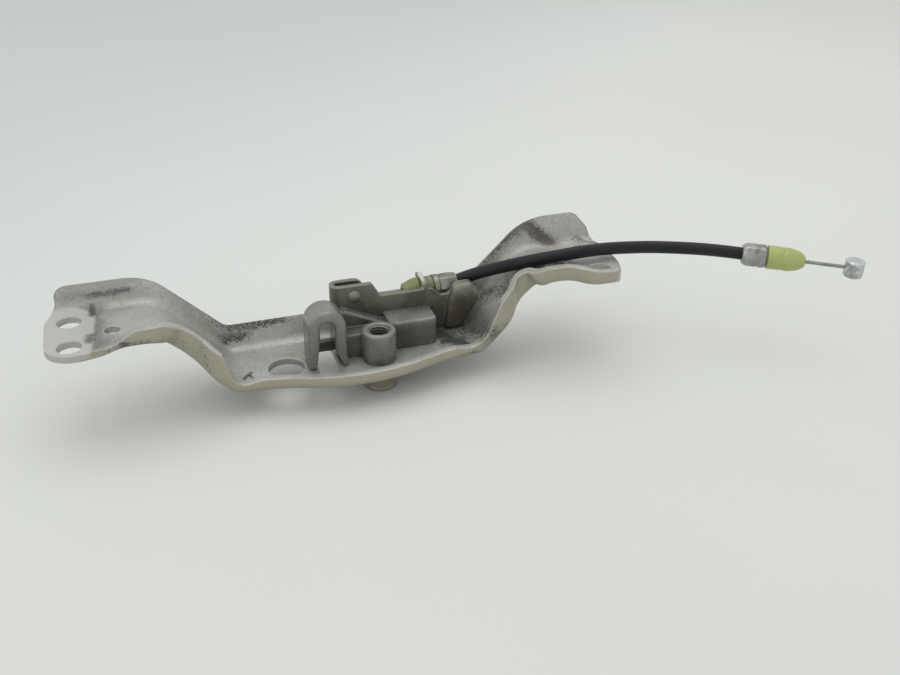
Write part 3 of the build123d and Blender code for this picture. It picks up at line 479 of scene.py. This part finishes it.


# Finishes. A stain, and a patch of painted light and shade alike, has its tint, raggedness, ragged
# scale and full share, then its marks. A mark has its start, end and reach in millimetres, in the
# part's own frame, and its amount.
# the grease tint also serves as painted shade on the floor between parts and round a hole
greaseAndShade, brown, rust = (0.035, 0.033, 0.028), (0.085, 0.070, 0.050), (0.15, 0.075, 0.045)
bracketSteel = {
    "base": (0.45, 0.46, 0.43), "cloud": (0.37, 0.38, 0.345), "grain": (0.27, 0.275, 0.245),
    "grainAmount": 0.5, "cloudScale": 42.0, "grainScale": 900.0, "fleckScale": 1500.0,
    "grime": ((0.22, 0.215, 0.18), 22.0, 0.45),
    "metallic": 0.35, "roughness": (0.30, 0.50), "bump": 0.35, "bumpDepth": 0.00014,
    # painted shade and warm reflection of the table on the front band
    "side": ((0.38, 0.35, 0.275), 0.85),
    "cavityDirtShade": ((0.09, 0.085, 0.07), 0.0035, 0.55),
    "edge": ((0.74, 0.72, 0.64), 0.0012, 2.8), "edgeRear": (0.12, 0.118, 0.10),
    "speckled": [
        ((0.035, 0.032, 0.027), [
            ((-62, 22.0, -5), (-47, 21.6, -17.0), (7, 3.5, 6), 0.75),
            ((-46, 18.5, -22), (-40, 19.5, -22), (6, 3, 4), 1.0),
            ((-46, 21.6, -18.4), (-24, 21.4, -18.6), (8, 3, 3), 0.95),
            ((-88, 19.4, 4.2), (-78, 19.4, 4.3), (6, 1.8, 1.8), 0.8),
            ((60, 20.9, -2.5), (76, 21.2, 9.4), (7, 3.5, 7), 1.0),
            ((78, 22.0, 9), (87, 17.6, 0.6), (7, 4.0, 4.0), 1.0),
            ((-84, -14, 0), (-66, -9, -3), (7, 4, 5), 0.6),
            ((-60, -9, -8), (-48, -9, -22), (5, 4, 6), 0.5),
            ((46, 12, -25), (52, -8, -20), (10, 10, 9), 1.0),
            ((55, 14, -16), (62, 4, -9), (7, 10, 7), 0.8),
            ((98, 17, 0), (106, 8, 0), (5, 3, 3), 0.7),
            ((78, 3, 0), (92, -1, 0), (7, 5, 3), 0.85)]),
    ],
    "stainsAndPaintedLight": [
        ((0.13, 0.128, 0.112), 0.35, 170.0, 0.0, [
            ((-89, 19.3, 4.0), (-78.5, 19.4, 4.3), (4.5, 1.5, 1.5), 0.8),
            ((-98, 20, 4.6), (-84, 19.6, 4.4), (6, 2.6, 2.4), 0.35),
            ((-90.5, 17, 0), (-89.5, 4, 0), (6.5, 6, 2.4), 0.85),
            ((-90.5, 0, 0), (-89, -11, 0), (6.0, 5, 2.4), 0.85),
            ((-84, -8, 0), (-76, -11.5, 0), (6, 4, 2), 0.4),
            ((50, 14, -23), (54, -8, -20), (9, 9, 9), 0.8),
            ((78, 22, 8.6), (87, 17.4, 1), (7, 4, 4), 0.65),
            ((62, 20.6, -2), (75, 21, 8), (6, 3, 6), 0.35),
            ((-46, 19.6, -21), (-36, 20.4, -20), (6, 2.4, 3), 0.5),
            # dirt and painted shade round the right locating hole
            ((82, 4, 0), (92, -2, 0), (7, 5, 3), 0.6)]),
        ((0.42, 0.435, 0.415), 0.03, 200.0, 0.97, [  # clean pads under the mounting washers
            ((-99.5, 9.5, 0), (-101.0, -12, 0), (9.6, 8.6, 3), 0.9)]),
        ((0.45, 0.465, 0.445), 0.03, 200.0, 0.6, [
            ((98, 9, 0), (98, -9, 0), (8.4, 8.4, 3), 0.5)]),
        (greaseAndShade, 0.5, 300.0, 0.2, [
            ((-90.4, 17.4, 0.5), (-90.2, 12.6, 0), (1.5, 2.6, 1.6), 0.85),
            ((-91.2, -3, 0), (-91.6, -7, 0), (2.2, 1.8, 1.6), 0.75),
            ((-104, 18.3, 0.3), (-91, 18.0, 0.5), (1.5, 0.8, 1.0), 0.7),
            ((-80.4, -13, 0), (-79.6, -13.3, -1), (1.8, 1.6, 1.8), 0.7),
            # grease and painted shade on the floor between the casting and the plate
            ((35, 9, -26), (43, -8, -26), (7, 6, 2.5), 0.95),
            # grease and painted shade round the right locating hole
            ((86, 3, 0), (79, 1, 0), (4.4, 3.0, 2), 0.9),
            ((99, 18.4, -0.5), (107.4, 12, -1), (1.2, 1.4, 3), 0.8),
            ((107.6, 12, -1.3), (107.6, -1, -1.3), (0.7, 3, 2.4), 0.85),
            ((-106.3, 8, -1.8), (-106.3, -6, -1.8), (0.8, 3, 1.4), 0.4)]),
        (brown, 0.7, 240.0, 0.1, [
            ((81.5, 20.6, 6.2), (87.5, 17.3, 0.6), (2.8, 2.2, 2.8), 0.85)]),
        (rust, 0.9, 420.0, 0.2, [
            ((-46.5, 23.9, -17.5), (-36, 23.9, -18.9), (3.0, 1.0, 0.9), 0.7)]),
        ((0.03, 0.025, 0.02), 0.9, 520.0, 0.2, [
            ((-47.8, 24.1, -15.9), (-22, 24.1, -18.7), (3.0, 1.0, 0.9), 0.95),
            ((-41.6, -4.6, -26), (-38.2, -1.2, -26), (0.9, 0.9, 1.2), 0.85),
            ((-41.4, -8.4, -26), (-39.4, -7.0, -26), (0.8, 0.8, 1.2), 0.8),
            ((-39.6, -3.0, -26), (-38.6, -5.6, -26), (0.6, 0.6, 1.2), 0.75),
            ((-46.5, -8.8, -22.5), (-43.0, -9.4, -24.6), (0.7, 0.7, 0.7), 0.7)]),
        ((0.76, 0.76, 0.72), 0.3, 500.0, 0.2, [  # bright rubbed lines on the creases, partly painted highlight along the left bend and the front corners
            ((-67.2, 18.6, -1.7), (-57.1, 18.8, -12.1), (1.3, 1.3, 1.3), 0.9),
            ((-57.1, 18.8, -12.1), (-50.0, 19.1, -18.8), (1.6, 1.4, 1.6), 0.8),
            ((-40.6, -9.6, -25.2), (-37, -10.6, -24.6), (1.3, 1.3, 1.3), 0.85),
            ((47, -9.6, -24.6), (50.5, -9.8, -22.6), (1.2, 1.3, 1.3), 0.85)]),
    ],
}
castPaint = {
    "base": (0.24, 0.242, 0.23), "cloud": (0.185, 0.185, 0.174), "grain": (0.25, 0.25, 0.24),
    "grainAmount": 0.12, "cloudScale": 90.0, "grainScale": 1300.0,
    "grime": ((0.085, 0.080, 0.068), 20.0, 0.5),
    "metallic": 0.25, "roughness": (0.24, 0.32), "specular": 0.7,
    "bump": 0.2, "bumpDepth": 0.00012,
    "cavityDirtShade": ((0.030, 0.027, 0.023), 0.006, 1.1),
    "edge": ((0.40, 0.40, 0.385), 0.0012, 1.2),
    "stainsAndPaintedLight": [
        # dirt and painted shade on the block's front and between the arch and the boss
        ((0.065, 0.056, 0.047), 0.4, 200.0, 0.2, [
            ((16, -1.8, -18), (21, -1.8, -22), (4, 2.5, 7), 0.95),
            ((22, -1.8, -20), (33, -1.8, -21), (7, 2.5, 7), 0.7),
            ((-4, 0, -22), (2, 2, -20), (4, 5, 5), 0.7)]),
        (greaseAndShade, 0.9, 320.0, 0.2, [
            ((-6, -4, -24.5), (-2, 1, -24), (2.4, 3, 2.2), 0.8),
            ((6, -9, -25.4), (13, -9, -25.4), (3, 3, 1.6), 0.6)]),
    ],
}
plateSteel = {
    "base": (0.168, 0.166, 0.127), "cloud": (0.130, 0.127, 0.095), "grain": (0.22, 0.215, 0.175),
    "grainAmount": 0.4, "cloudScale": 70.0, "metallic": 0.4, "roughness": (0.34, 0.5),
    "grime": ((0.060, 0.055, 0.042), 70.0, 0.6),
    "cavityDirtShade": ((0.03, 0.027, 0.02), 0.007, 0.8),
    "edge": ((0.50, 0.49, 0.42), 0.0009, 3.0),
    "stainsAndPaintedLight": [
        # painted light on the lug's upper face
        ((0.30, 0.295, 0.24), 0.6, 420.0, 0.1, [((44, 7, -8), (52, 7, -10), (5, 3, 3), 0.6)]),
        # dirt and painted shade at the lug's foot
        ((0.05, 0.042, 0.03), 0.4, 240.0, 0.1, [((42, 8, -22), (48, 7, -17), (7, 5, 6), 0.8)]),
        ((0.58, 0.58, 0.54), 0.2, 200.0, 0.6, [((31.5, 14, -7), (33.3, 19, -7), (1.6, 4, 5), 0.9)]),
    ],
}
slideSteel = dict(plateSteel, base=(0.20, 0.19, 0.165), cloud=(0.13, 0.125, 0.10), stainsAndPaintedLight=[])
screwZinc = {
    "base": (0.30, 0.28, 0.22), "cloud": (0.20, 0.18, 0.135), "grain": (0.40, 0.38, 0.31),
    "grainAmount": 0.5, "cloudScale": 160.0, "metallic": 0.5, "roughness": (0.34, 0.5),
    "cavityDirtShade": ((0.03, 0.026, 0.02), 0.0012, 0.7), "edge": ((0.50, 0.47, 0.38), 0.0003, 2.0),
}
brightZinc = {
    "base": (0.40, 0.42, 0.39), "cloud": (0.29, 0.305, 0.275), "grain": (0.25, 0.26, 0.225),
    "grainAmount": 0.4, "cloudScale": 150.0, "metallic": 0.75, "roughness": (0.24, 0.42),
    "grime": ((0.14, 0.135, 0.105), 140.0, 0.7),
    "bump": 0.2, "cavityDirtShade": ((0.06, 0.058, 0.05), 0.0025, 0.9),
    "edge": ((0.75, 0.76, 0.73), 0.0005, 2.0),
}
# darker copy of the zinc for the near crimp: dirt and painted shade
nearZincDirtAndShade = dict(brightZinc, base=(0.29, 0.30, 0.265), cloud=(0.18, 0.185, 0.155),
                grime=((0.08, 0.075, 0.055), 160.0, 0.8))
nylon = {
    "base": (0.375, 0.43, 0.145), "cloud": (0.32, 0.365, 0.12), "grain": (0.30, 0.34, 0.12),
    "grainAmount": 0.25, "cloudScale": 120.0, "metallic": 0.0, "roughness": (0.30, 0.42),
    "bump": 0.12,
    "cavityDirtShade": ((0.04, 0.042, 0.025), 0.0012, 1.3), "edge": ((0.52, 0.58, 0.24), 0.0004, 0.8),
    "stainsAndPaintedLight": [
        ((0.11, 0.10, 0.03), 0.8, 700.0, 0.2, [
            ((168.6, -27.4, 4.2), (169.6, -28.0, 3.2), (0.5, 0.9, 0.9), 0.9),
            ((171.4, -29.2, 3.6), (171.8, -29.4, 3.4), (0.4, 0.5, 0.5), 0.8),
            # painted shade in the nose's bore
            ((176.4, -29.6, 0.7), (176.6, -29.8, 0.6), (0.7, 1.5, 1.5), 0.9)]),
    ],
}
# darker copy of the nylon for the near ferrule: dirt and painted shade
nearNylonDirtAndShade = dict(
    nylon, base=(0.24, 0.265, 0.10), cloud=(0.17, 0.185, 0.07), grain=(0.14, 0.15, 0.06),
    grainAmount=0.4, stainsAndPaintedLight=[
        ((0.10, 0.10, 0.04), 0.5, 300.0, 0.2, [
            ((33.6, 16, -10.4), (36.8, 16, -10.4), (1.2, 6, 6), 0.7)])])
rivetSteel = dict(plateSteel, base=(0.24, 0.24, 0.21), cloud=(0.17, 0.17, 0.145), stainsAndPaintedLight=[],
                  edge=((0.5, 0.49, 0.45), 0.0003, 1.6))
springSteel = dict(screwZinc, base=(0.22, 0.22, 0.21), cloud=(0.13, 0.13, 0.12))
wireSteel = dict(brightZinc, base=(0.34, 0.35, 0.34), cloud=(0.22, 0.23, 0.22),
                 roughness=(0.3, 0.45))
nippleZinc = dict(brightZinc, base=(0.70, 0.74, 0.745), cloud=(0.45, 0.48, 0.49),
                  roughness=(0.16, 0.30))
sheathRubber = {
    "base": (0.008, 0.010, 0.012), "cloud": (0.012, 0.014, 0.016), "grain": (0.024, 0.026, 0.027),
    "grainAmount": 0.25, "cloudScale": 60.0, "metallic": 0.0, "roughness": (0.34, 0.46),
    "bump": 0.12, "specular": 0.25,
    "cavityDirtShade": ((0.01, 0.01, 0.01), 0.003, 0.5), "edge": ((0.05, 0.05, 0.05), 0.0003, 0.5),
}
finishes = {
    "bracket": bracketSteel, "latch_body": castPaint, "cable_plate": plateSteel,
    "latch_slide": slideSteel, "front_screw": screwZinc, "rear_screw": screwZinc,
    "near_ferrule": nearNylonDirtAndShade, "far_ferrule": nylon, "near_crimp": nearZincDirtAndShade,
    "far_crimp": brightZinc, "pull_nipple": nippleZinc, "wire_anchor": nippleZinc,
    "guide_rivet": rivetSteel, "plate_rivet_left": rivetSteel, "plate_rivet_right": rivetSteel,
    "return_spring": springSteel, "near_wire": wireSteel, "far_wire": wireSteel,
    "cable_sheath": sheathRubber,
}
materials = {name: makeFinish(name + "Finish", finish) for name, finish in finishes.items()}
for name, node in nodes.items():
    node.data.materials.clear()
    node.data.materials.append(materials[name])
cable.data.materials.append(materials["cable_sheath"])
print("finishes on")


# Detail pieces: surfaces on a grid of rows along an axis and columns round it
gridShared = {"weld": 1e-7, "sharp": 38.0}  # metres, degrees


def gridPiece(name, points, node, body="base", closeRows=False):
    # points[row, column] joined by quads; columns always close, rows close on a ring profile
    rows, columns = points.shape[:2]
    row = np.arange(rows if closeRows else rows - 1)[:, None]
    column = np.arange(columns)[None, :]
    nextRow, nextColumn = (row + 1) % rows, (column + 1) % columns
    corners = [row * columns + column, row * columns + nextColumn,
               nextRow * columns + nextColumn, nextRow * columns + column]
    faces = np.stack(corners, -1).reshape(-1, 4)
    mesh = bpy.data.meshes.new(name)
    mesh.from_pydata(points.reshape(-1, 3).tolist(), [], faces.tolist())
    shape = bmesh.new()
    shape.from_mesh(mesh)
    bmesh.ops.remove_doubles(shape, verts=shape.verts, dist=gridShared["weld"])
    bmesh.ops.recalc_face_normals(shape, faces=shape.faces)
    shape.to_mesh(mesh)
    shape.free()
    mesh.polygons.foreach_set("use_smooth", np.ones(len(mesh.polygons), bool))
    mesh.set_sharp_from_angle(angle=math.radians(gridShared["sharp"]))
    mesh.materials.append(materials[node])
    piece = bpy.data.objects.new(name, mesh)
    scene.collection.objects.link(piece)
    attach(piece, body)
    return piece


hexagonRoll = 1.12  # a hexagon's corners are slightly rolled off, from 1.155 of its half width


def turned(origin, axis, rows, sides=96, waves=(), lead=(0.0, 0.0, 1.0)):
    # point = origin + h axis + R (cos a first + sin a second), where R is the row's radius,
    # pushed out to a hexagon by its third value, less each wave's depth at (count a - rate h)
    axis = np.array(axis, float) / np.linalg.norm(axis)
    if abs(np.dot(lead, axis)) > 0.99:
        lead = (1.0, 0.0, 0.0)
    first = np.array(lead, float) - np.dot(lead, axis) * axis
    first /= np.linalg.norm(first)
    second = np.cross(axis, first)
    rows = np.array([list(row) + [0.0] * (5 - len(row)) for row in rows], float)
    height, radius, hexagon = rows[:, 0:1], rows[:, 1:2], rows[:, 2:3]
    angle = np.linspace(0, 2 * math.pi, sides, endpoint=False)[None, :]
    turn = (angle + math.pi / 6) % (math.pi / 3) - math.pi / 6
    corner = np.minimum(1 / np.cos(turn), hexagonRoll)
    radius = radius * (1 + (corner - 1) * hexagon)
    for place, (count, rate) in enumerate(waves):
        phase = (count * angle - rate * height) / (2 * math.pi) % 1.0
        radius = radius - rows[:, 3 + place:4 + place] * np.abs(2 * phase - 1)
    ring = np.cos(angle)[..., None] * first + np.sin(angle)[..., None] * second
    return (np.array(origin, float) + height[..., None] * axis + radius[..., None] * ring) / 1000


def softRows(corners, closed=False, steps=5):
    # rows (h, r, hexagon) through corners (h, r, soft, hexagon), each corner becoming a
    # quadratic bend of size soft
    corners = [list(corner) + [0.0] * (4 - len(corner)) for corner in corners]
    corners = np.array(corners, float)
    stops, softness = corners[:, [0, 1, 3]], corners[:, 2]
    made, share = [], np.linspace(0, 1, steps)[:, None]
    for place, (stop, soft) in enumerate(zip(stops, softness)):
        if soft == 0 or (not closed and place in (0, len(stops) - 1)):
            made.append(stop[None])
            continue
        toBefore = stops[place - 1] - stop
        toAfter = stops[(place + 1) % len(stops)] - stop
        toBefore *= soft / np.linalg.norm(toBefore[:2])
        toAfter *= soft / np.linalg.norm(toAfter[:2])
        made.append(stop + (1 - share) ** 2 * toBefore + share ** 2 * toAfter)
    return np.concatenate(made).tolist()


# Cap screws: knurled head with a hex socket, thread up into the casting
screws = {
    "front_screw": {
        "place": (9.3, -5.5), "head": 13.0, "headHeight": 8.8, "socket": 6.0, "thread": 8.0,
        "pitch": 1.25, "reach": 8.4, "knurls": 52},
    "rear_screw": {
        "place": (24.4, 2.4), "head": 10.0, "headHeight": 6.0, "socket": 5.0, "thread": 6.0,
        "pitch": 1.0, "reach": 8.0, "knurls": 44},
}
screwShared = {
    "under": -28.6, "sheet": 2.6, "socketDeep": 3.6, "knurlDepth": 0.22, "threadDepth": 0.55,
    "sides": 5,
    "cone": 0.9, "lip": 0.55,  # drill point under the socket, and where its flats end
    "mouth": (1.17, 1.22, 1.3),  # widening of the socket's mouth, in shares of its half width
    "knurlFrom": 1.35, "knurlTo": -1.0, "knurlRows": 6,
    "threadRows": 8,  # rows in one pitch
}


def makeScrew(name, screw):
    # socket floor, flats and mouth, head's rim, knurled side, collar, threaded shank and tip
    shared = screwShared
    head, tall, hexHalf = screw["head"] / 2, screw["headHeight"], screw["socket"] / 2
    shank, top = screw["thread"] / 2, shared["sheet"] + screw["reach"]
    knurl, thread = shared["knurlDepth"], shared["threadDepth"]
    inner, outer, rim = (hexHalf * share for share in shared["mouth"])
    floor = shared["socketDeep"] - tall
    knurls = np.linspace(shared["knurlFrom"] - tall, shared["knurlTo"], shared["knurlRows"])
    threads = np.arange(0.3, top - 0.7, screw["pitch"] / shared["threadRows"])
    rows = [(floor + shared["cone"], 0.0), (floor, hexHalf * 0.99, 1.0),
            (shared["lip"] - tall, hexHalf, 1.0), (0.1 - tall, inner), (-tall, outer)]
    rows += softRows([(-tall, rim, 0), (-tall, head - 0.1, 0.9), (1.2 - tall, head, 0)])
    rows += [(height, head, 0.0, knurl) for height in knurls]
    rows += [(-0.85, head), (-0.3, head), (0.0, head - 0.35), (0.0, shank + 0.4), (0.15, shank)]
    rows += [(height, shank, 0.0, 0.0, thread) for height in threads]
    rows += [(top - 0.55, shank - 0.5), (top, shank - 0.9), (top, 0.0)]
    waves = ((screw["knurls"], 0.0), (1, 2 * math.pi / screw["pitch"]))
    points = turned((*screw["place"], shared["under"]), (0, 0, 1), rows,
                    screw["knurls"] * shared["sides"], waves)
    piece = gridPiece(name.replace("_s", "S"), points, name)
    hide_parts(name)


for name, screw in screws.items():
    makeScrew(name, screw)

# Thread inside the boss, above the front screw's tip
bossThread = {
    "place": (9.3, -5.5, 0.0), "low": -17.4, "high": -14.3, "outer": 4.12, "inner": 4.0,
    "depth": 0.55, "pitch": 1.25, "pitchRows": 10, "sides": 96}


def makeBossThread():
    # a ring whose inner side winds inwards by the thread's depth, once round in a pitch
    low, high, pitch = (bossThread[key] for key in ("low", "high", "pitch"))
    heights = np.arange(low, high, pitch / bossThread["pitchRows"])
    rows = [(high, bossThread["outer"]), (low, bossThread["outer"])]
    rows += [(height, bossThread["inner"], 0.0, bossThread["depth"]) for height in heights]
    rows += [(high, bossThread["inner"])]
    waves = ((1, 2 * math.pi / pitch),)
    points = turned(bossThread["place"], (0, 0, 1), rows, bossThread["sides"], waves)
    gridPiece("bossThread", points, "latch_body", closeRows=True)


makeBossThread()
print("screws and thread made")

# Cable ends: nylon ferrules, crimped sleeves, stranded wire and barrel
axisY, axisZ = 16.0, -10.4
nearStart = (0.0, axisY, axisZ)
farPoint, farAim = (155.4, -17.6, 1.8), (5.4, -3.1, -0.3)
wireBore = 1.05
endSides = 120
# Corners: along the cable, radius, size of the bend, and how far the round becomes a hexagon
nearFerrule = [
    (24.5, wireBore, 0.15), (24.5, 2.5, 0.5), (29.1, 4.3, 1.4), (31.3, 4.3, 0.35),
    (31.3, 2.8, 0.25), (33.4, 2.8, 0.25), (33.4, 4.3, 0.35), (36.9, 4.3, 0.5),
    (36.9, 2.3, 0.1), (39.9, 2.3, 0.1), (39.9, wireBore, 0.1)]
farFerrule = [
    (6.0, wireBore, 0.1), (6.0, 2.3, 0.1), (9.0, 2.3, 0.1), (9.0, 4.0, 0.1), (9.6, 4.0, 0.1),
    (9.75, 4.7, 0.25), (14.6, 4.68, 0.5), (15.7, 4.38, 0.5), (16.8, 4.7, 0.4),
    (18.4, 4.64, 1.0), (22.0, 3.8, 1.2), (24.2, 2.3, 0.5), (24.2, wireBore, 0.15)]
nearCrimp = [
    (36.9, 2.35, 0.1), (36.9, 4.6, 0.35), (39.1, 4.6, 0.35), (39.5, 4.05, 0.3, 0.3),
    (40.6, 4.0, 0.5, 1.0), (44.6, 4.0, 0.6, 1.0), (45.4, 4.1, 0.5, 0.5),
    (46.7, 4.15, 0.3, 0.1), (46.7, 3.5, 0.15), (45.1, 3.5, 0.2), (45.1, wireBore, 0.1),
    (39.9, wireBore, 0.1), (39.9, 2.35, 0.1)]
farCrimp = [
    (0.0, wireBore, 0.1), (0.0, 3.6, 0.4, 0.2), (1.3, 4.15, 0.4, 0.5), (2.2, 4.1, 0.4, 1.0),
    (5.6, 4.1, 0.4, 1.0), (6.5, 4.2, 0.3, 0.3), (6.8, 4.65, 0.3), (9.0, 4.65, 0.45),
    (9.0, 2.35, 0.1), (6.0, 2.35, 0.1), (6.0, wireBore, 0.1)]
cableEnds = {
    "near_ferrule": ("nearFerrule", nearStart, (1, 0, 0), nearFerrule, "nylon"),
    "far_ferrule": ("farFerrule", farPoint, farAim, farFerrule, "nylon"),
    "near_crimp": ("nearCrimp", nearStart, (1, 0, 0), nearCrimp, "crimp_steel"),
    "far_crimp": ("farCrimp", farPoint, farAim, farCrimp, "crimp_steel"),
}
for name, (title, origin, aim, corners, slot) in cableEnds.items():
    points = turned(origin, aim, softRows(corners, closed=True), endSides)
    gridPiece(title, points, name, closeRows=True)
    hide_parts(name)

strands = {
    "radius": 0.75, "groove": 0.2, "count": 6, "lay": 9.0, "step": 0.3, "sides": 72,
    "tip": 0.8, "tipLength": 0.1}
wires = {
    "near_wire": ("nearWire", nearStart, (1, 0, 0), 7.0, 37.8, "latch"),
    "far_wire": ("farWire", farPoint, farAim, 0.3, 42.95, "pull"),
}


def makeWire(name, title, origin, aim, start, end, body):
    # a rod whose grooves wind once round in a lay, one for each strand
    tip, tipLength = strands["radius"] * strands["tip"], strands["tipLength"]
    heights = np.arange(start + tipLength, end - tipLength, strands["step"])
    rows = [(start, 0.0), (start, tip)]
    rows += [(height, strands["radius"], 0.0, strands["groove"]) for height in heights]
    rows += [(end, tip), (end, 0.0)]
    waves = ((strands["count"], 2 * math.pi / strands["lay"] * strands["count"]),)
    points = turned(origin, aim, rows, strands["sides"], waves)
    piece = gridPiece(title, points, name, body)
    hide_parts(name)
    return piece


for name, (title, origin, aim, start, end, body) in wires.items():
    makeWire(name, title, origin, aim, start, end, body)

barrel = {
    "along": 42.95, "lean": 0.25, "length": 6.6, "radius": 3.75, "bend": 0.7, "sides": 96}


def makeBarrel():
    # a round barrel across the wire's end, its axis upright but for a lean
    aim = np.array(farAim) / np.linalg.norm(farAim)
    middle = np.array(farPoint) + aim * barrel["along"]
    up = np.array((0.0, 0.0, 1.0)) + aim * barrel["lean"]
    up -= aim * np.dot(up, aim)
    half, radius, bend = barrel["length"] / 2, barrel["radius"], barrel["bend"]
    corners = [(-half, 0.0, 0), (-half, radius, bend), (half, radius, bend), (half, 0.0, 0)]
    points = turned(middle, up, softRows(corners, steps=8), barrel["sides"], lead=aim)
    piece = gridPiece("pullBarrel", points, "pull_nipple", "pull")
    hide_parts("pull_nipple")
    return piece


makeBarrel()
print("cable ends made")

# Rivets with formed heads, upright on the plate's faces
plateRivet = {"start": 5.75, "pin": 4.0, "face": 11.1, "head": 7.0, "crown": 1.8}
rivets = {
    "plate_rivet_left": dict(plateRivet, title="plateRivetLeft", place=(19.6, 0.0, -21.4)),
    "plate_rivet_right": dict(plateRivet, title="plateRivetRight", place=(29.6, 0.0, -21.4)),
    "guide_rivet": {
        "title": "guideRivet", "place": (3.7, 0.0, -6.6), "start": 9.3, "pin": 3.0,
        "face": 16.1, "head": 5.2, "crown": 1.3, "front": 8.0},
}
# Domes: height in shares of the crown, radius in shares of the head
rivetDome = ((0.0, 0.5), (0.25, 0.5), (0.6, 0.43), (0.86, 0.3), (0.97, 0.15), (1.0, 0.0))
rivetFront = ((0.4, 0.4), (0.8, 0.5))
rivetNose = (0.06, 0.2)  # millimetres along, share of the head
rivetSides = 64


def makeRivet(name, rivet):
    # front head where there is one, pin, then the formed head
    start, pin, face, head, crown = (
        rivet[key] for key in ("start", "pin", "face", "head", "crown"))
    rows = [(start, 0.0), (start, pin / 2)]
    if "front" in rivet:
        front = rivet["front"]
        rows = [(front, 0.0), (front + rivetNose[0], head * rivetNose[1])]
        rows += [(front + crown * up, head * out) for up, out in rivetFront]
        rows += [(start, head / 2), (start, pin / 2)]
    rows += [(face, pin / 2)]
    rows += [(face + crown * up, head * out) for up, out in rivetDome]
    points = turned(rivet["place"], (0, 1, 0), rows, rivetSides)
    piece = gridPiece(rivet["title"], points, name)
    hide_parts(name)


for name, rivet in rivets.items():
    makeRivet(name, rivet)

# Return spring: tube of radius w round a helix whose pitch closes up at both ends
spring = {
    "start": 1.4, "end": 20.0, "axis": (2.8, -21.7), "wire": 0.35, "coil": 1.85, "turns": 9.5,
    "steps": 420, "sides": 14,
    "keep": 0.624,  # share of its length that is left at the end of the travel
    "closing": 0.09,  # share of the wire in each closed end
    "packed": 1.6,  # wire radii that each closed end takes up
}


def makeSpring():
    # centre = (along, axis) + coil (cos t, sin t), ringed by a circle of the wire's radius
    share = np.linspace(0, 1, spring["steps"])
    wire, coil = spring["wire"], spring["coil"]
    closing, packed = spring["closing"], spring["packed"]
    free = np.clip((share - closing) / (1 - 2 * closing), 0, 1)
    ends = np.clip(share / closing, 0, 1) + np.clip((share - 1) / closing + 1, 0, 1)
    ends *= wire * packed
    length = spring["end"] - spring["start"] - 2 * wire
    along = spring["start"] + wire + ends + free * (length - 2 * packed * wire)
    turn = 2 * math.pi * spring["turns"] * share
    radial = np.stack([np.zeros_like(turn), np.cos(turn), np.sin(turn)], -1)
    middle = [np.full_like(turn, value) for value in spring["axis"]]
    centre = np.stack([along, *middle], -1) + coil * radial
    direction = np.gradient(centre, axis=0)
    direction /= np.linalg.norm(direction, axis=1)[:, None]
    side = np.cross(direction, radial)
    thick = np.full(len(share), wire)
    thick[[0, -1]] = 0.0
    centre[0], centre[-1] = centre[1], centre[-2]
    angle = np.linspace(0, 2 * math.pi, spring["sides"], endpoint=False)
    ring = np.cos(angle)[None, :, None] * radial[:, None]
    ring = ring + np.sin(angle)[None, :, None] * side[:, None]
    points = (centre[:, None] + thick[:, None, None] * ring) / 1000
    piece = gridPiece("returnSpring", points, "return_spring")
    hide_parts("return_spring")
    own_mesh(piece)


makeSpring()
print("rivets and spring made")


# Sheet of paper under the part
def makePaper():
    # a flat sheet of two by two quads, its tint varied by noise, and darker to the far left as
    # painted shade
    side = np.linspace(-studio["floorReach"], studio["floorReach"], 3)
    across, deep = np.meshgrid(side, side, indexing="ij")
    points = np.stack([across, deep, np.full_like(across, studio["floorHeight"])], -1)
    row, column = np.arange(2)[:, None], np.arange(2)[None, :]
    corner = row * 3 + column
    faces = np.stack([corner, corner + 3, corner + 4, corner + 1], -1).reshape(-1, 4)
    mesh = bpy.data.meshes.new("paper")
    mesh.from_pydata(points.reshape(-1, 3).tolist(), [], faces.tolist())
    mesh.update()
    paper = bpy.data.objects.new("paper", mesh)
    scene.collection.objects.link(paper)
    material = bpy.data.materials.new("paperFinish")
    material.use_nodes = True
    tree = material.node_tree
    shader = tree.nodes["Principled BSDF"]
    shade, far = studio["shade"], studio["far"]
    cells = noise(tree, objectPoint(tree), shade["scale"], shade["detail"])
    cloud = remap(tree, cells, *shade["step"])
    colour = mixColour(tree, cloud, colour4(studio["floorColour"]), colour4(studio["floorShade"]))
    pointX, pointY = (coordinate(tree, objectPoint(tree), axis) for axis in "XY")
    # painted shade: darker to the far left, for the lamps' falloff
    leftAndFarForFalloff = maths(tree, "SUBTRACT", pointY, maths(tree, "MULTIPLY", pointX, far["slope"]))
    falloffShadeMask = remap(tree, leftAndFarForFalloff, *far["step"], 0.0, far["amount"])
    colour = mixColour(tree, falloffShadeMask, colour, colour4(studio["floorFalloffShade"]))
    feed(tree, shader.inputs["Base Color"], colour)
    feed(tree, shader.inputs["Roughness"], studio["floorRoughness"])
    mesh.materials.append(material)


makePaper()
bpy.context.view_layer.update()
